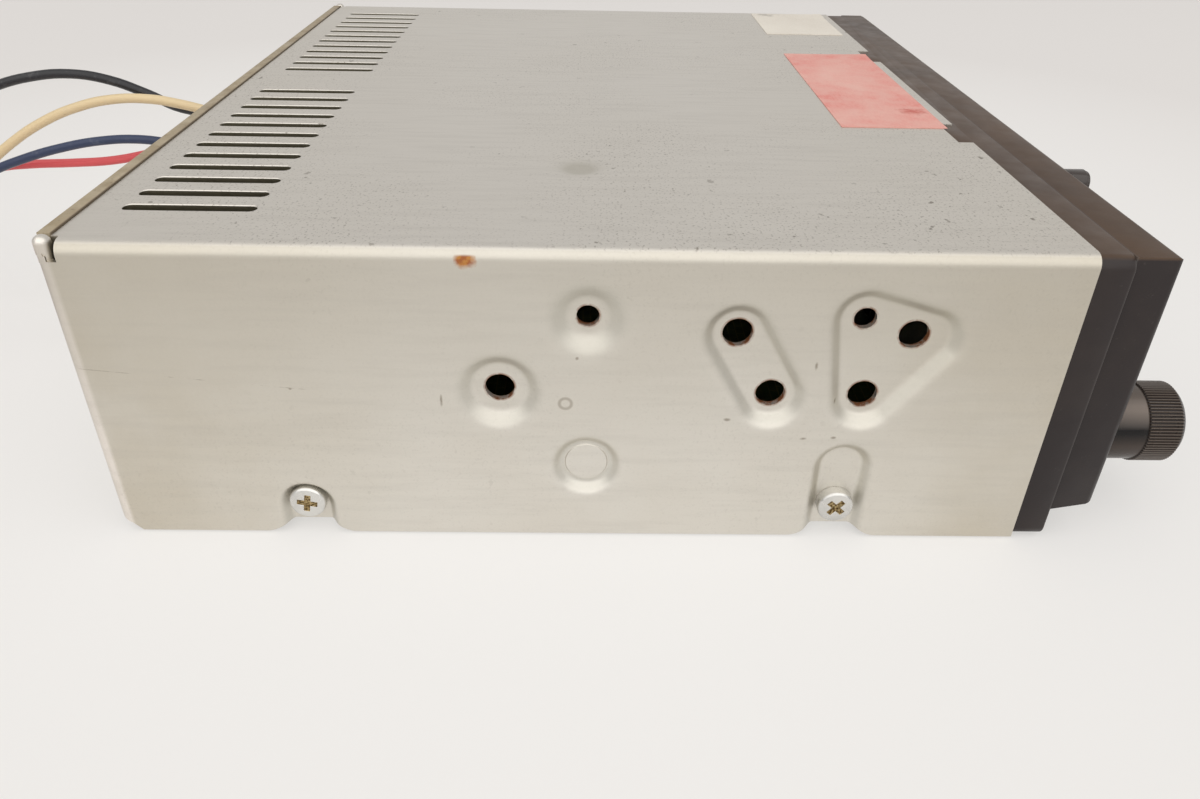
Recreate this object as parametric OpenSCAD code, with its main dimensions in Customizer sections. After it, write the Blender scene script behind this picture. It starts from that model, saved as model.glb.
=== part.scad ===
// Dashboard public address amplifier in a one-unit metal case.
// X runs across the case, Y from the front (negative) to the rear, Z up from the surface it stands on.

/* [Case] */
// Width of the metal case
body_w = 178; // [172:1:186]
// Height of the metal case
body_h = 50; // [48:0.5:54]
// Depth of the metal case
body_d = 145; // [140:1:160]
// Thickness of the steel sheet
sheet_t = 1; // [0.8:0.1:1.2]
// Outer radius of the bends along the top edges
bend_r = 2; // [1.6:0.1:3]
// Height of the cover's lower edge above the surface
cover_gap = 0.3; // [0.2:0.1:0.6]
// Clearance between pieces that are screwed or slid together
seat_gap = 0.05; // [0.02:0.01:0.08]
// Height of the tray's side flanges above the cover screws
flange_over = 2.4; // [2:0.1:3]
// Height of the tray's rear upstand
upstand_h = 12; // [10:0.5:14]
// Distance of the tray's front wall behind the front edge of the case
wall_set = 3.5; // [3:0.1:5]

/* [Rear] */
// Thickness of the rear panel
rear_t = 2; // [1.8:0.1:3]
// Height of the rear panel above the top of the cover
rear_rise = 1; // [0.5:0.1:1.5]
// Height of the rear panel's lower edge
rear_lift = 2.7; // [2:0.1:4]
// Width of the relief notches at the upper rear corners
relief_w = 1.4; // [1.2:0.1:2.5]
// Height of the relief notches
relief_h = 2.8; // [2.2:0.1:3.5]
// Chamfer at the lower rear corners of the cover
corner_cut = 2.8; // [1:0.1:4]
// Radius of the grommets' holes
grommet_r = 4; // [3.6:0.1:4.2]
// Distance of the grommets below the top of the case
grommet_drop = 6.5; // [6.4:0.1:12]
// Distance of the rear panel's screws from the middle
rear_screw_x = 60; // [40:1:75]
// Height of the rear panel's screws
rear_screw_z = 7.5; // [6:0.5:8]

/* [Vents] */
// Number of slots in each of the two banks
vent_count = 12; // [6:1:12]
// Spacing of the slots
vent_pitch = 6; // [5:0.1:6.4]
// Distance of the innermost slot from the middle
vent_inner = 9.5; // [6:0.5:12]
// Distance of the slots from the rear face
vent_set = 7; // [6:0.5:12]
// Length of a slot
vent_len = 19.5; // [12:0.5:24]
// Width of a slot
vent_w = 2.4; // [1.6:0.1:2.8]

/* [Side embosses] */
// Depth of the pressed recesses
emboss_depth = 1.8; // [1.4:0.1:2.2]
// Width of a recess's sloping flank
emboss_flank = 1.6; // [1.2:0.1:2]
// Upper dimple: distance from the rear face, and height
upper_dimple = [74.9, 39.2]; // [0:0.1:120]
// Middle dimple: distance from the rear face, and height
middle_dimple = [61.9, 27.1]; // [0:0.1:120]
// Lower dimple: distance from the rear face, and height
lower_dimple = [74.9, 13.8]; // [0:0.1:120]
// Rear mounting pair: the upper hole's distance from the rear face, and height
pair_upper = [96.5, 36.8]; // [0:0.1:120]
// Rear mounting pair: the lower hole
pair_lower = [102.4, 26.6]; // [0:0.1:120]
// Front mounting trio: the upper hole
trio_upper = [122.1, 36.8]; // [0:0.1:130]
// Front mounting trio: the lower hole
trio_lower = [116.3, 26.6]; // [0:0.1:130]
// Front mounting trio: the small hole
trio_small = [114.6, 39.3]; // [0:0.1:130]
// Diameter of the mounting holes
mount_hole_d = 4.4; // [4:0.1:4.6]
// Diameter of the small locating holes
small_hole_d = 3.3; // [3:0.1:3.6]

/* [Case screws] */
// Rear cover screw: distance from the rear face, and height
rear_case_screw = [30.6, 6.1]; // [0:0.1:60]
// Front cover screw: distance from the rear face, and height
front_case_screw = [115.1, 6.1]; // [0:0.1:130]
// Height of the front screw's recess
front_recess_h = 18.3; // [15:0.1:18.4]
// Diameter of a screw's shank
screw_d = 3; // [2.5:0.1:3]
// Diameter of a screw's head
screw_head_d = 5.8; // [5:0.1:6.2]
// Height of a screw's head
screw_head_h = 2; // [1.6:0.1:2.2]
// Length of a screw's shank
screw_len = 6; // [5:0.5:8]
// Height of the notches in the cover's lower edge
notch_h = 2.5; // [1.5:0.1:2.5]
// Width of the notches at the lower edge
notch_w = 14.4; // [12:0.1:16]

/* [Front] */
// Thickness of the front frame
frame_t = 4.9; // [4:0.1:6]
// Depth of the front panel in front of the frame
nose_d = 7; // [6:0.1:9]
// Inset of the front panel from the sides of the frame
nose_inset = 0.7; // [0.4:0.1:1.5]
// Height of the front panel's lower edge
nose_z = 5.5; // [4.5:0.1:6]
// Rise of the lower face from the frame to the front edge
nose_rise = 1.2; // [0.5:0.1:2]
// Wall of the front panel
nose_wall = 2.2; // [1.8:0.1:2.6]
// Radius of the front panel's edges
nose_r = 1.2; // [0.8:0.1:1.6]
// Width of the frame's latch tabs
latch_w = 11; // [8:0.5:13]
// Distance of the latch tabs from the middle
latch_x = 32; // [25:0.5:40]

/* [Controls] */
// Distance of the volume knob from the left side
knob_side = 12.7; // [11:0.1:20]
// Height of the knobs
knob_z = 15.1; // [14:0.1:20]
// Spacing of the two knobs
knob_pitch = 28; // [26:0.5:32]
// Diameter of a knob
knob_d = 13.4; // [12:0.1:14]
// Length of a knob
knob_len = 14.7; // [12:0.1:18]
// Length of a knob's ribbed part
rib_len = 6.4; // [4:0.1:7]
// Number of ribs round a knob
rib_count = 78; // [40:2:90]
// Depth of the ribs
rib_depth = 0.25; // [0.2:0.05:0.4]
// How far a knob's smooth skirt lies inside its ribs
skirt_set = 0.9; // [0.4:0.1:1.2]
// Gap between a knob and the front panel
knob_gap = 0.4; // [0.3:0.1:0.8]
// Diameter of a control's shaft
shaft_d = 6; // [5.8:0.1:6]
// Running clearance round a shaft
shaft_fit = 0.05; // [0.03:0.01:0.08]
// Distance of the power button from the left side
button_side = 45.2; // [40:0.1:60]
// Width of the power button
button_w = 4.6; // [4:0.1:5.5]
// Height of the power button
button_h = 8; // [6:0.1:8.4]
// Radius of the power button's corners
button_round = 2.2; // [1:0.1:2.2]
// Length of the button in front of the panel
button_out = 7.4; // [5:0.1:9]
// Travel of the power button
button_travel = 3; // [2:0.1:4]
// Diameter of the pilot light
pilot_d = 5; // [3:0.5:5]
// Diameter of the microphone plug that the jack takes
jack_d = 6.35; // [5:0.05:6.5]

/* [Leads] */
// Diameter of the black and the cream lead
speaker_lead_d = 2; // [1.8:0.1:2.2]
// Diameter of the blue and the red lead
power_lead_d = 1.7; // [1.4:0.1:2]

/* [Hidden] */
$fn = 48;
eps = 0.5;

// Main planes of the case
side_x = body_w / 2;
rear_y = body_d / 2;
front_y = -body_d / 2;
panel_y = rear_y - rear_t;
frame_y = front_y - frame_t;
nose_y = frame_y - nose_d;
wall_y = front_y + wall_set;
tray_x = side_x - sheet_t - emboss_depth - seat_gap;
tray_y = panel_y - seat_gap;
tray_bend_r = 1.6;
flange_h = max(rear_case_screw[1], front_case_screw[1]) + flange_over;
lip_x = side_x - rear_t;
relief_in = 0.2;
roof_z = body_h - sheet_t;
wall_top_z = roof_z - 3;
grommet_z = body_h - grommet_drop;

// Opening of the front frame, and its skirt inside the cover
rim_x = side_x - nose_inset - nose_wall - 1.4;
rim_low = nose_z + nose_wall + nose_rise;
rim_high = body_h - cover_gap - nose_wall;
rim_gap = 0.5;
skirt_t = 1.5;
skirt_gap = 0.2;
latch_d = 2.4;
latch_gap = 0.3;

// Floors and holes of the pressed recesses
dimple_floor_r = 2.9;
ring_floor_r = 4.2;
web_floor_r = 3.5;
screw_floor_r = 3.5;
boss_wall = 0.9;
pair_holes = [pair_upper, pair_lower];
trio_holes = [trio_upper, trio_lower, trio_small];
case_screws = [rear_case_screw, front_case_screw];
screw_fit = 0.06;
screw_hole_r = screw_d / 2 + screw_fit;
screw_edge = 0.6;
cross_len = 3.2;
cross_w = 0.95;
cross_deep = 1.1;
cross_turns = [10, 42];

// Front panel's posts, and the board's places
post_r = 2.6;
post_high = [side_x - 9, body_h - 8];
post_low = [side_x - knob_side - knob_pitch / 2, rim_low + rim_gap + post_r];
post_places = [for (x = [-1, 1], p = [post_high, post_low]) [x * p[0], p[1]]];
board_x = tray_x - 8;
board_front = wall_y + 13;
board_rear = panel_y - 5;
board_t = 1.6;
standoff_h = 8;
standoff_af = 5;
board_z = sheet_t + standoff_h;
board_top = board_z + board_t;
standoff_neck_r = standoff_af / 2 - 0.6;
standoff_places = [for (x = [8 - board_x, board_x - 8], y = [board_front + 6, board_rear - 16]) [x, y]];

// Heat bracket and the power chips on it
bracket_t = 3;
bracket_x = [12, 72];
bracket_z = [board_top + 4, board_top + 31];
bracket_shelf = 18;
bracket_screw_x = [18, 66];
bracket_screw_z = board_top + 26;
chip_x = [30, 54];
chip_size = [18, 4.5, 17];
chip_z = board_top + 8;
chip_hole_z = chip_z + chip_size[2] - 4;
pin_count = 7;
pin_pitch = 2.2;
pin_w = 0.8;

// Transformer, upright on the board
core_size = [42, 16, 30];
core_place = [-50, 26];
core_limb = 7;
winding_wrap = 6;
winding_gap = 0.15;

// Electrolytic capacitors: place across, place along, radius, height
filter_cans = [[-6, 10, 9, 30], [14, 10, 9, 30]];
small_cans = [[36, -8, 4, 12], [47, -8, 4, 12], [58, -8, 4, 12], [-12, -30, 3.2, 11]];

// Controls
knob_x = -side_x + knob_side;
tone_x = knob_x + knob_pitch;
knob_back = nose_y - knob_gap;
knob_front = knob_back - knob_len;
knob_wall = 2;
knob_edge = 0.8;
knob_fit = 0.02;
pot_r = 8;
pot_depth = 9;
lug_size = [12, 6, 2];
lug_drop = 4;
bushing_r = shaft_d / 2 + 1;
bushing_len = 7;
nut_af = 11;
nut_t = 2;
shaft_inside = 5;
shaft_flat = 0.8;
button_x = -side_x + button_side;
button_fit = 0.3;
button_z = rim_high - button_fit - button_h / 2;
button_edge = 0.6;
switch_size = [8, 16, 9.4];
stem_w = 3;
stem_fit = 0.05;
stem_in = 6;
pilot_x = button_x + 16;
pilot_z = button_z - 1;
pilot_deep = 8;
pilot_foot = 1;
pilot_wall = 1;
pilot_flange_t = 0.8;
jack_x = side_x - 14;
jack_body = [11.4, 20, 11.4];
jack_z = rim_low + rim_gap + jack_body[2] / 2;
jack_wall = 1.4;
jack_bush_r = jack_d / 2 + jack_wall;
jack_out = 3.4;

// Places of the leads' grommets, across the rear panel
speaker_grommet_x = -3.3;
power_grommet_x = -25.3;
lead_spread = 1.7;
grommet_flange = 1.2;
grommet_flange_t = 1.8;
lead_fit = 0.05;

// Routes of the leads behind the rear panel: across, distance behind the panel's face, height
black_route = [[-1.6, 2, 43.5], [-1.6, 6, 43.3], [-1.6, 13, 43.9], [-1.6, 20, 47], [-1.6, 27, 49.6],
    [-1.6, 35, 50.8], [-1.6, 44, 50], [-1.6, 52, 47.9], [-1, 60, 44.6], [1, 68.5, 39.8], [5, 77, 33.5],
    [11, 84.5, 26], [17, 91, 18.6], [22, 97, 12], [25, 103, 7.4], [26, 110, 5.3], [26, 116, 4.9],
    [26, 120, 4.9]];
cream_route = [[-5, 2, 43.5], [-5, 6, 44.4], [-5, 12, 45.8], [-5, 18, 46.7], [-5, 26, 46.5], [-5, 34, 44.7],
    [-5, 42, 41.5], [-5, 50, 36.9], [-5, 58, 31], [-5, 66, 24.4], [-5, 74, 17.6], [-5, 81, 12],
    [-5, 88, 7.9], [-5, 95, 5.8], [-5, 102, 5], [-5, 107, 4.9], [-5, 110, 4.9]];
blue_route = [[-27, 2, 43.5], [-27, 6, 44.3], [-27, 12, 44.9], [-27, 19, 44.5], [-27, 27, 43],
    [-27, 35, 40.7], [-27, 43, 37.6], [-29, 51, 33.2], [-33, 58, 27.6], [-38.5, 64, 21], [-44.5, 69.5, 14],
    [-50, 75, 8.4], [-54, 81, 5.4], [-55, 86, 4.45], [-55, 89, 4.45]];
red_route = [[-23.6, 2, 43.5], [-23.6, 7, 42.4], [-23.6, 13, 40.8], [-23.6, 20, 39.5], [-23.6, 28, 38.9],
    [-23.6, 36, 38.5], [-23.6, 43, 37.6], [-23.6, 50, 35], [-23.6, 57, 30.6], [-23.6, 63, 25],
    [-23.7, 68.5, 18.4], [-23.9, 74, 12], [-24, 80, 7], [-24, 86, 4.9], [-24, 90, 4.45], [-24, 93, 4.45]];

// Coils of the leads, put away on the surface: loops, mean radius in diameters, gaps and the tie's band
coil_loops = 3;
coil_radius = 5.5;
coil_gap = 0.55;
rings_per_loop = 24;
tie_t = 0.7;
tie_w = 3;
tie_gap = 0.3;
tail_len = 8;
connector_len = 16;
sleeve_r = 1.8;
tip_len = 6;
tip_r = 1.6;
tip_end = 1.2;

// Labels: left and right edge, distances of the near and far edge from the front of the case
label_t = 0.15;
red_place = [-29.4, 33, 2, 22.2];
white_place = [side_x - 32, side_x - 3, 2, 22.5];

// Small vector helpers
function unit(v) = v / norm(v);

// The same piece on the left and on the right
module both_sides() {
    children();
    mirror([1, 0, 0]) children();
}

// A side wall's plane: the local Z axis points into the case, from the outer face of the left side
module side_plane(depth = 0) {
    translate([-side_x + depth, 0, 0]) rotate([0, 90, 0]) children();
}

// A place on the side, from the distance from the rear face and the height
function side_at(p) = [-p[1], rear_y - p[0]];

// A plane across the case, facing the front: the local Z axis points to the front
module front_plane(y) {
    translate([0, y, 0]) rotate([90, 0, 0]) children();
}

module rounded_rect(w, h, r) {
    square([w - 2 * r, h], center = true);
    square([w, h - 2 * r], center = true);
    for (x = [-1, 1], y = [-1, 1]) translate([x * (w / 2 - r), y * (h / 2 - r)]) circle(r);
}

module slot_outline(len, w) {
    square([w, len - w], center = true);
    for (y = [-1, 1]) translate([0, y * (len - w) / 2]) circle(w / 2);
}

// Outline round two or more points, taken anticlockwise, with an arc of the given radius round each
function web_outline(p, r, steps = 8) =
    [for (i = [0:len(p) - 1])
        let (before = p[(i + len(p) - 1) % len(p)], after = p[(i + 1) % len(p)],
            from = atan2(p[i][1] - before[1], p[i][0] - before[0]) - 90,
            to = atan2(after[1] - p[i][1], after[0] - p[i][0]) - 90,
            turn = (to - from + 720) % 360)
        for (k = [0:steps]) p[i] + r * [cos(from + turn * k / steps), sin(from + turn * k / steps)]];

// An upturned channel's outline with rounded lower corners
module channel_outline(half, h, r) {
    translate([-half, r]) square([2 * half, h - r]);
    translate([-half + r, 0]) square([2 * half - 2 * r, r]);
    for (x = [-1, 1]) translate([x * (half - r), r]) circle(r);
}

// Pan-head screw along Z: the head sits on the plane z = 0, and the shank points down
module pan_screw(len, turn = 0) {
    difference() {
        union() {
            rotate_extrude() difference() {
                union() {
                    square([screw_head_d / 2, screw_head_h - screw_edge]);
                    square([screw_head_d / 2 - screw_edge, screw_head_h]);
                    translate([screw_head_d / 2 - screw_edge, screw_head_h - screw_edge]) circle(screw_edge);
                }
                translate([-1, -1]) square([1, screw_head_h + 2]);
            }
            translate([0, 0, -len]) cylinder(h = len, r = screw_d / 2);
        }
        for (a = [turn, turn + 90]) rotate(a)
            translate([-cross_len / 2, -cross_w / 2, screw_head_h - cross_deep])
                cube([cross_len, cross_w, cross_deep + eps]);
    }
}

// Cover: top and sides of one bent sheet, with pressed recesses

// A recess's cone, wide at the outer face, sunk from the left side
module press_cone(p, floor_r, $fn = 48) {
    over = emboss_flank * eps / emboss_depth;
    translate([side_at(p)[0], side_at(p)[1], -eps])
        cylinder(h = emboss_depth + eps, r1 = floor_r + emboss_flank + over, r2 = floor_r);
}

// The raised back of a round recess, on the inner face
module press_back(p, floor_r) {
    translate([side_at(p)[0], side_at(p)[1], sheet_t / 2])
        cylinder(h = emboss_depth + sheet_t / 2, r1 = floor_r + emboss_flank + 0.2, r2 = floor_r + boss_wall);
}

// A recess that runs down to the lower edge, with sloping flanks and a half-round upper end
module press_channel(p, top_h, floor_r) {
    over = emboss_flank * eps / emboss_depth;
    top = [p[0], top_h - floor_r - emboss_flank];
    press_cone(top, floor_r);
    translate([0, side_at(p)[1], 0]) rotate([0, -90, 0]) linear_extrude(height = top[1] + 2)
        polygon([[-eps, -floor_r - emboss_flank - over], [emboss_depth, -floor_r],
            [emboss_depth, floor_r], [-eps, floor_r + emboss_flank + over]]);
}

module channel_back(p, top_h, floor_r) {
    r = floor_r + boss_wall;
    top = side_at([p[0], top_h - floor_r - emboss_flank]);
    translate([0, 0, sheet_t / 2]) linear_extrude(height = emboss_depth + sheet_t / 2) {
        translate(top) circle(r);
        translate([top[0], top[1] - r]) square([-top[0] - notch_h, 2 * r]);
    }
}

// Notch in the lower edge, with an S-shaped rise at each end
module edge_notch(p) {
    rise = 3.4;
    steps = 8;
    flank = [for (i = [0:steps]) [i / steps, (1 - cos(180 * i / steps)) / 2]];
    left = [for (f = flank) [-(notch_h + cover_gap) * f[1], -notch_w / 2 + rise * f[0]]];
    right = [for (i = [steps:-1:0]) [left[i][0], -left[i][1]]];
    translate([0, side_at(p)[1], -eps]) linear_extrude(height = sheet_t + emboss_depth + 2 * eps)
        polygon(concat([[eps, -notch_w / 2]], left, right, [[eps, notch_w / 2]]));
}

module side_backs() {
    side_plane() {
        press_back(upper_dimple, dimple_floor_r);
        press_back(middle_dimple, ring_floor_r);
        press_back(lower_dimple, dimple_floor_r);
        for (holes = [pair_holes, trio_holes])
            translate([0, 0, sheet_t / 2]) linear_extrude(height = emboss_depth + sheet_t / 2)
                polygon(web_outline([for (p = holes) side_at(p)], web_floor_r + boss_wall));
        channel_back(rear_case_screw, rear_case_screw[1] + screw_floor_r + emboss_flank, screw_floor_r);
        channel_back(front_case_screw, front_recess_h, screw_floor_r);
    }
}

module side_recesses() {
    side_plane() {
        press_cone(upper_dimple, dimple_floor_r);
        press_cone(middle_dimple, ring_floor_r);
        press_cone(lower_dimple, dimple_floor_r);
        for (holes = [pair_holes, trio_holes])
            hull() for (p = holes) press_cone(p, web_floor_r, $fn = 32);
        press_channel(rear_case_screw, rear_case_screw[1] + screw_floor_r + emboss_flank, screw_floor_r);
        press_channel(front_case_screw, front_recess_h, screw_floor_r);
        for (p = case_screws) edge_notch(p);
    }
}

module side_holes() {
    through = sheet_t + emboss_depth + 2 * eps;
    side_plane(-eps) {
        for (p = [pair_upper, pair_lower, trio_upper, trio_lower, middle_dimple])
            translate(side_at(p)) cylinder(h = through, r = mount_hole_d / 2);
        for (p = [trio_small, upper_dimple]) translate(side_at(p))
            cylinder(h = through, r = small_hole_d / 2);
        for (p = case_screws) translate(side_at(p)) cylinder(h = through, r = screw_hole_r);
    }
}

module cover_sheet() {
    len = body_d - rear_t - seat_gap;
    front_plane(panel_y - seat_gap) linear_extrude(height = len) difference() {
        translate([0, body_h]) mirror([0, 1]) channel_outline(side_x, body_h - cover_gap, bend_r);
        translate([0, roof_z]) mirror([0, 1]) channel_outline(side_x - sheet_t, body_h, bend_r - sheet_t);
    }
}

// The rear edge of each side is rolled in to meet the rear panel
module rear_lip() {
    translate([-lip_x, panel_y, rear_lift]) intersection() {
        difference() {
            cylinder(h = body_h + rear_rise - rear_lift, r = rear_t);
            translate([0, 0, -eps]) cylinder(h = body_h + 2 * eps, r = rear_t - sheet_t);
        }
        translate([-rear_t, -seat_gap * 2, 0]) cube([rear_t, rear_t + seat_gap * 2, body_h + rear_rise]);
    }
}

module cover_corners() {
    translate([-side_x - eps, panel_y + relief_in - relief_w, body_h - relief_h])
        cube([bend_r + eps * 2, relief_w, relief_h + rear_rise + eps]);
    side_plane(-eps) linear_extrude(height = rear_t + eps)
        polygon([[0, rear_y + eps], [-corner_cut - rear_lift, rear_y + eps], [-rear_lift, rear_y - rear_t],
            [0, rear_y - rear_t - corner_cut]]);
}

module cover_vents() {
    for (side = [-1, 1], i = [0:vent_count - 1])
        translate([side * (vent_inner + i * vent_pitch), rear_y - vent_set - vent_len / 2, roof_z - eps])
            linear_extrude(height = sheet_t + 2 * eps) slot_outline(vent_len, vent_w);
}

module cover() {
    latch_room = [latch_w + 2 * latch_gap, latch_d + latch_gap + eps, sheet_t + 2 * eps];
    color("#b9b6ac") difference() {
        union() {
            cover_sheet();
            both_sides() {
                rear_lip();
                side_backs();
            }
        }
        both_sides() {
            side_recesses();
            side_holes();
            cover_corners();
        }
        cover_vents();
        for (x = [-latch_x, latch_x])
            translate([x - latch_room[0] / 2, front_y - eps, roof_z - eps]) cube(latch_room);
    }
}

// Tray: the bottom with upturned sides, a rear upstand and the front wall that carries the controls
module wall_holes() {
    for (x = [knob_x, tone_x]) translate([x, knob_z]) circle(bushing_r + screw_fit);
    for (p = post_places) translate(p) circle(screw_hole_r);
    translate([button_x, button_z]) square(stem_w + 2 * rim_gap, center = true);
    translate([jack_x, jack_z])
        square([jack_body[0] + 2 * rim_gap, jack_body[2] + 2 * rim_gap], center = true);
}

module chassis_tray() {
    upstand_x = tray_x - 6;
    wall_x = tray_x - 2;
    color("#a8a59b") difference() {
        union() {
            front_plane(tray_y) linear_extrude(height = tray_y - wall_y) difference() {
                channel_outline(tray_x, flange_h, tray_bend_r);
                translate([0, sheet_t]) channel_outline(tray_x - sheet_t, flange_h, tray_bend_r - sheet_t);
            }
            translate([-wall_x, front_y + seat_gap, 0]) cube([2 * wall_x, wall_set, sheet_t]);
            translate([-upstand_x, tray_y - sheet_t, 0]) cube([2 * upstand_x, sheet_t, upstand_h]);
            front_plane(wall_y + sheet_t) linear_extrude(height = sheet_t)
                translate([-wall_x, 0]) square([2 * wall_x, wall_top_z]);
        }
        front_plane(wall_y + sheet_t + eps) linear_extrude(height = sheet_t + 2 * eps) wall_holes();
        for (p = case_screws) both_sides()
            side_plane(side_x - tray_x - eps) translate(side_at(p))
                cylinder(h = sheet_t + 2 * eps, r = screw_hole_r);
        for (x = [-rear_screw_x, rear_screw_x])
            front_plane(tray_y + eps) translate([x, rear_screw_z, 0])
                cylinder(h = sheet_t + 2 * eps, r = screw_hole_r);
        for (p = standoff_places)
            translate([p[0], p[1], -eps]) cylinder(h = sheet_t + 2 * eps, r = standoff_neck_r + screw_fit);
    }
}

// Rear panel: a thick plate between the rolled edges of the cover
module rear_panel() {
    half = lip_x - seat_gap;
    color("#a99a7c") difference() {
        front_plane(rear_y) linear_extrude(height = rear_t)
            translate([-half, rear_lift]) square([2 * half, body_h + rear_rise - rear_lift]);
        for (x = [speaker_grommet_x, power_grommet_x])
            front_plane(rear_y + eps) translate([x, grommet_z, 0])
                cylinder(h = rear_t + 2 * eps, r = grommet_r);
        for (x = [-rear_screw_x, rear_screw_x])
            front_plane(rear_y + eps) translate([x, rear_screw_z, 0])
                cylinder(h = rear_t + 2 * eps, r = screw_hole_r);
        for (x = bracket_screw_x)
            front_plane(rear_y + eps) translate([x, bracket_screw_z, 0])
                cylinder(h = rear_t + 2 * eps, r = screw_hole_r);
    }
}

// Front frame: a black ring against the metal case, with a skirt inside the cover and two latch tabs
module front_frame() {
    skirt_len = wall_set + sheet_t - skirt_gap;
    skirt_x = side_x - sheet_t - skirt_gap;
    skirt_top = roof_z - skirt_gap;
    skirt_end = bend_r;
    rail_low = sheet_t + skirt_gap;
    side_low = rail_low + skirt_t;
    color("#2b2826") {
        difference() {
            front_plane(front_y) linear_extrude(height = frame_t)
                translate([0, body_h / 2]) rounded_rect(body_w, body_h - 2 * cover_gap, bend_r);
            front_plane(front_y + eps) linear_extrude(height = frame_t + 2 * eps)
                translate([-rim_x, rim_low]) square([2 * rim_x, rim_high - rim_low]);
        }
        for (x = [-skirt_x, skirt_x - skirt_t])
            translate([x, front_y - eps, side_low])
                cube([skirt_t, skirt_len + eps, skirt_top - skirt_end - side_low]);
        translate([skirt_end - skirt_x, front_y - eps, skirt_top - skirt_t])
            cube([2 * (skirt_x - skirt_end), skirt_len + eps, skirt_t]);
        translate([skirt_end - skirt_x, front_y - eps, rail_low])
            cube([2 * (skirt_x - skirt_end), wall_set - skirt_gap + eps, skirt_t]);
        for (x = [-latch_x, latch_x])
            translate([x - latch_w / 2, front_y - eps, skirt_top - skirt_t])
                cube([latch_w, latch_d + eps, body_h - skirt_gap - skirt_top + skirt_t]);
    }
}

// Front panel: a moulded shell whose lower face rises to the front
module nose_side_outline(inset) {
    r = max(nose_r - inset, 0.2);
    y0 = frame_y;
    y1 = nose_y + inset;
    low = nose_z + inset;
    high = body_h - cover_gap - inset;
    polygon([[y0 + eps * (inset > 0 ? 1 : 0), low], [y0 + eps * (inset > 0 ? 1 : 0), high], [y1 + r, high],
        [y1 + r * 0.29, high - r * 0.29], [y1, high - r], [y1, low + nose_rise + r],
        [y1 + r * 0.29, low + nose_rise + r * 0.29], [y1 + r, low + nose_rise]]);
}

module nose_solid(inset) {
    half = side_x - nose_inset - inset;
    r = max(nose_r - inset, 0.2);
    intersection() {
        translate([-half, 0, 0]) rotate([90, 0, 90]) linear_extrude(height = 2 * half)
            nose_side_outline(inset);
        linear_extrude(height = body_h) union() {
            translate([-half, nose_y + inset + r]) square([2 * half, nose_d - inset - r + 2 * eps]);
            translate([-half + r, nose_y + inset]) square([2 * half - 2 * r, nose_d - inset + 2 * eps]);
            for (x = [-1, 1]) translate([x * (half - r), nose_y + inset + r]) circle(r);
        }
    }
}

module front_panel() {
    color("#2b2826") difference() {
        union() {
            difference() {
                nose_solid(0);
                nose_solid(nose_wall);
            }
            for (p = post_places)
                front_plane(wall_y - seat_gap) translate([p[0], p[1], 0])
                    cylinder(h = wall_y - nose_y - nose_wall / 2, r = post_r);
        }
        for (p = post_places)
            front_plane(wall_y) translate([p[0], p[1], 0]) cylinder(h = screw_len + 1, r = screw_hole_r);
        for (x = [knob_x, tone_x])
            front_plane(nose_y + nose_wall + eps) translate([x, knob_z, 0])
                cylinder(h = nose_wall + 2 * eps, r = shaft_d / 2 + rim_gap);
        front_plane(nose_y + nose_wall + eps) linear_extrude(height = nose_wall + 2 * eps)
            translate([button_x, button_z])
                rounded_rect(button_w + 2 * button_fit, button_h + 2 * button_fit, button_round + button_fit);
        front_plane(nose_y + nose_wall + eps) translate([pilot_x, pilot_z, 0])
            cylinder(h = nose_wall + 2 * eps, r = pilot_d / 2 + pilot_wall + screw_fit);
        front_plane(nose_y + nose_wall + eps) translate([jack_x, jack_z, 0])
            cylinder(h = nose_wall + 2 * eps, r = jack_bush_r + screw_fit);
    }
}

// Screws
module cover_screws() {
    color("#d9d6cf") both_sides() for (i = [0, 1])
        side_plane(emboss_depth) translate(side_at(case_screws[i])) mirror([0, 0, 1])
            pan_screw(screw_len, cross_turns[i]);
}

module rear_screws() {
    color("#d9d6cf") for (x = [-rear_screw_x, rear_screw_x])
        translate([x, rear_y, rear_screw_z]) rotate([-90, 0, 0]) pan_screw(screw_len);
}

module panel_screws() {
    color("#d9d6cf") for (p = post_places)
        translate([p[0], wall_y + sheet_t, p[1]]) rotate([-90, 0, 0]) pan_screw(screw_len);
}

// Labels on the top: plain stickers
module sticker(p) {
    translate([p[0], front_y + p[2], body_h]) cube([p[1] - p[0], p[3] - p[2], label_t]);
}

module red_label() {
    color("#e2564f") sticker(red_place);
}

module white_label() {
    color("#e7e3d8") sticker(white_place);
}

// A knob along -Y: a smooth skirt behind and a ribbed grip with a rounded front edge
module control_knob(x) {
    r = knob_d / 2;
    core_r = r - rib_depth - 0.1;
    ribs = [for (i = [0:4 * rib_count - 1])
        let (a = 360 * (i + 0.5) / (4 * rib_count), q = r - (i % 4 < 2 ? 0 : rib_depth))
            [q * cos(a), q * sin(a)]];
    translate([x, knob_back, knob_z]) rotate([90, 0, 0]) difference() {
        union() {
            cylinder(h = knob_len - rib_len + eps, r = r - skirt_set);
            translate([0, 0, knob_len - rib_len]) linear_extrude(height = rib_len - knob_edge) polygon(ribs);
            translate([0, 0, knob_len - knob_edge - eps]) rotate_extrude() {
                square([core_r - knob_edge, knob_edge + eps]);
                square([core_r, eps]);
                intersection() {
                    translate([core_r - knob_edge, eps]) circle(knob_edge);
                    square([core_r, knob_edge + eps]);
                }
            }
        }
        translate([0, 0, -eps]) shaft_outline(knob_len - knob_wall + eps, shaft_d / 2 + knob_fit);
    }
}

// A shaft with a flat along its side
module shaft_outline(len, r) {
    intersection() {
        cylinder(h = len, r = r);
        translate([-r - 1, -r - 1, 0]) cube([2 * r + 2, 2 * r + 1 - shaft_flat, len]);
    }
}

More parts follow.
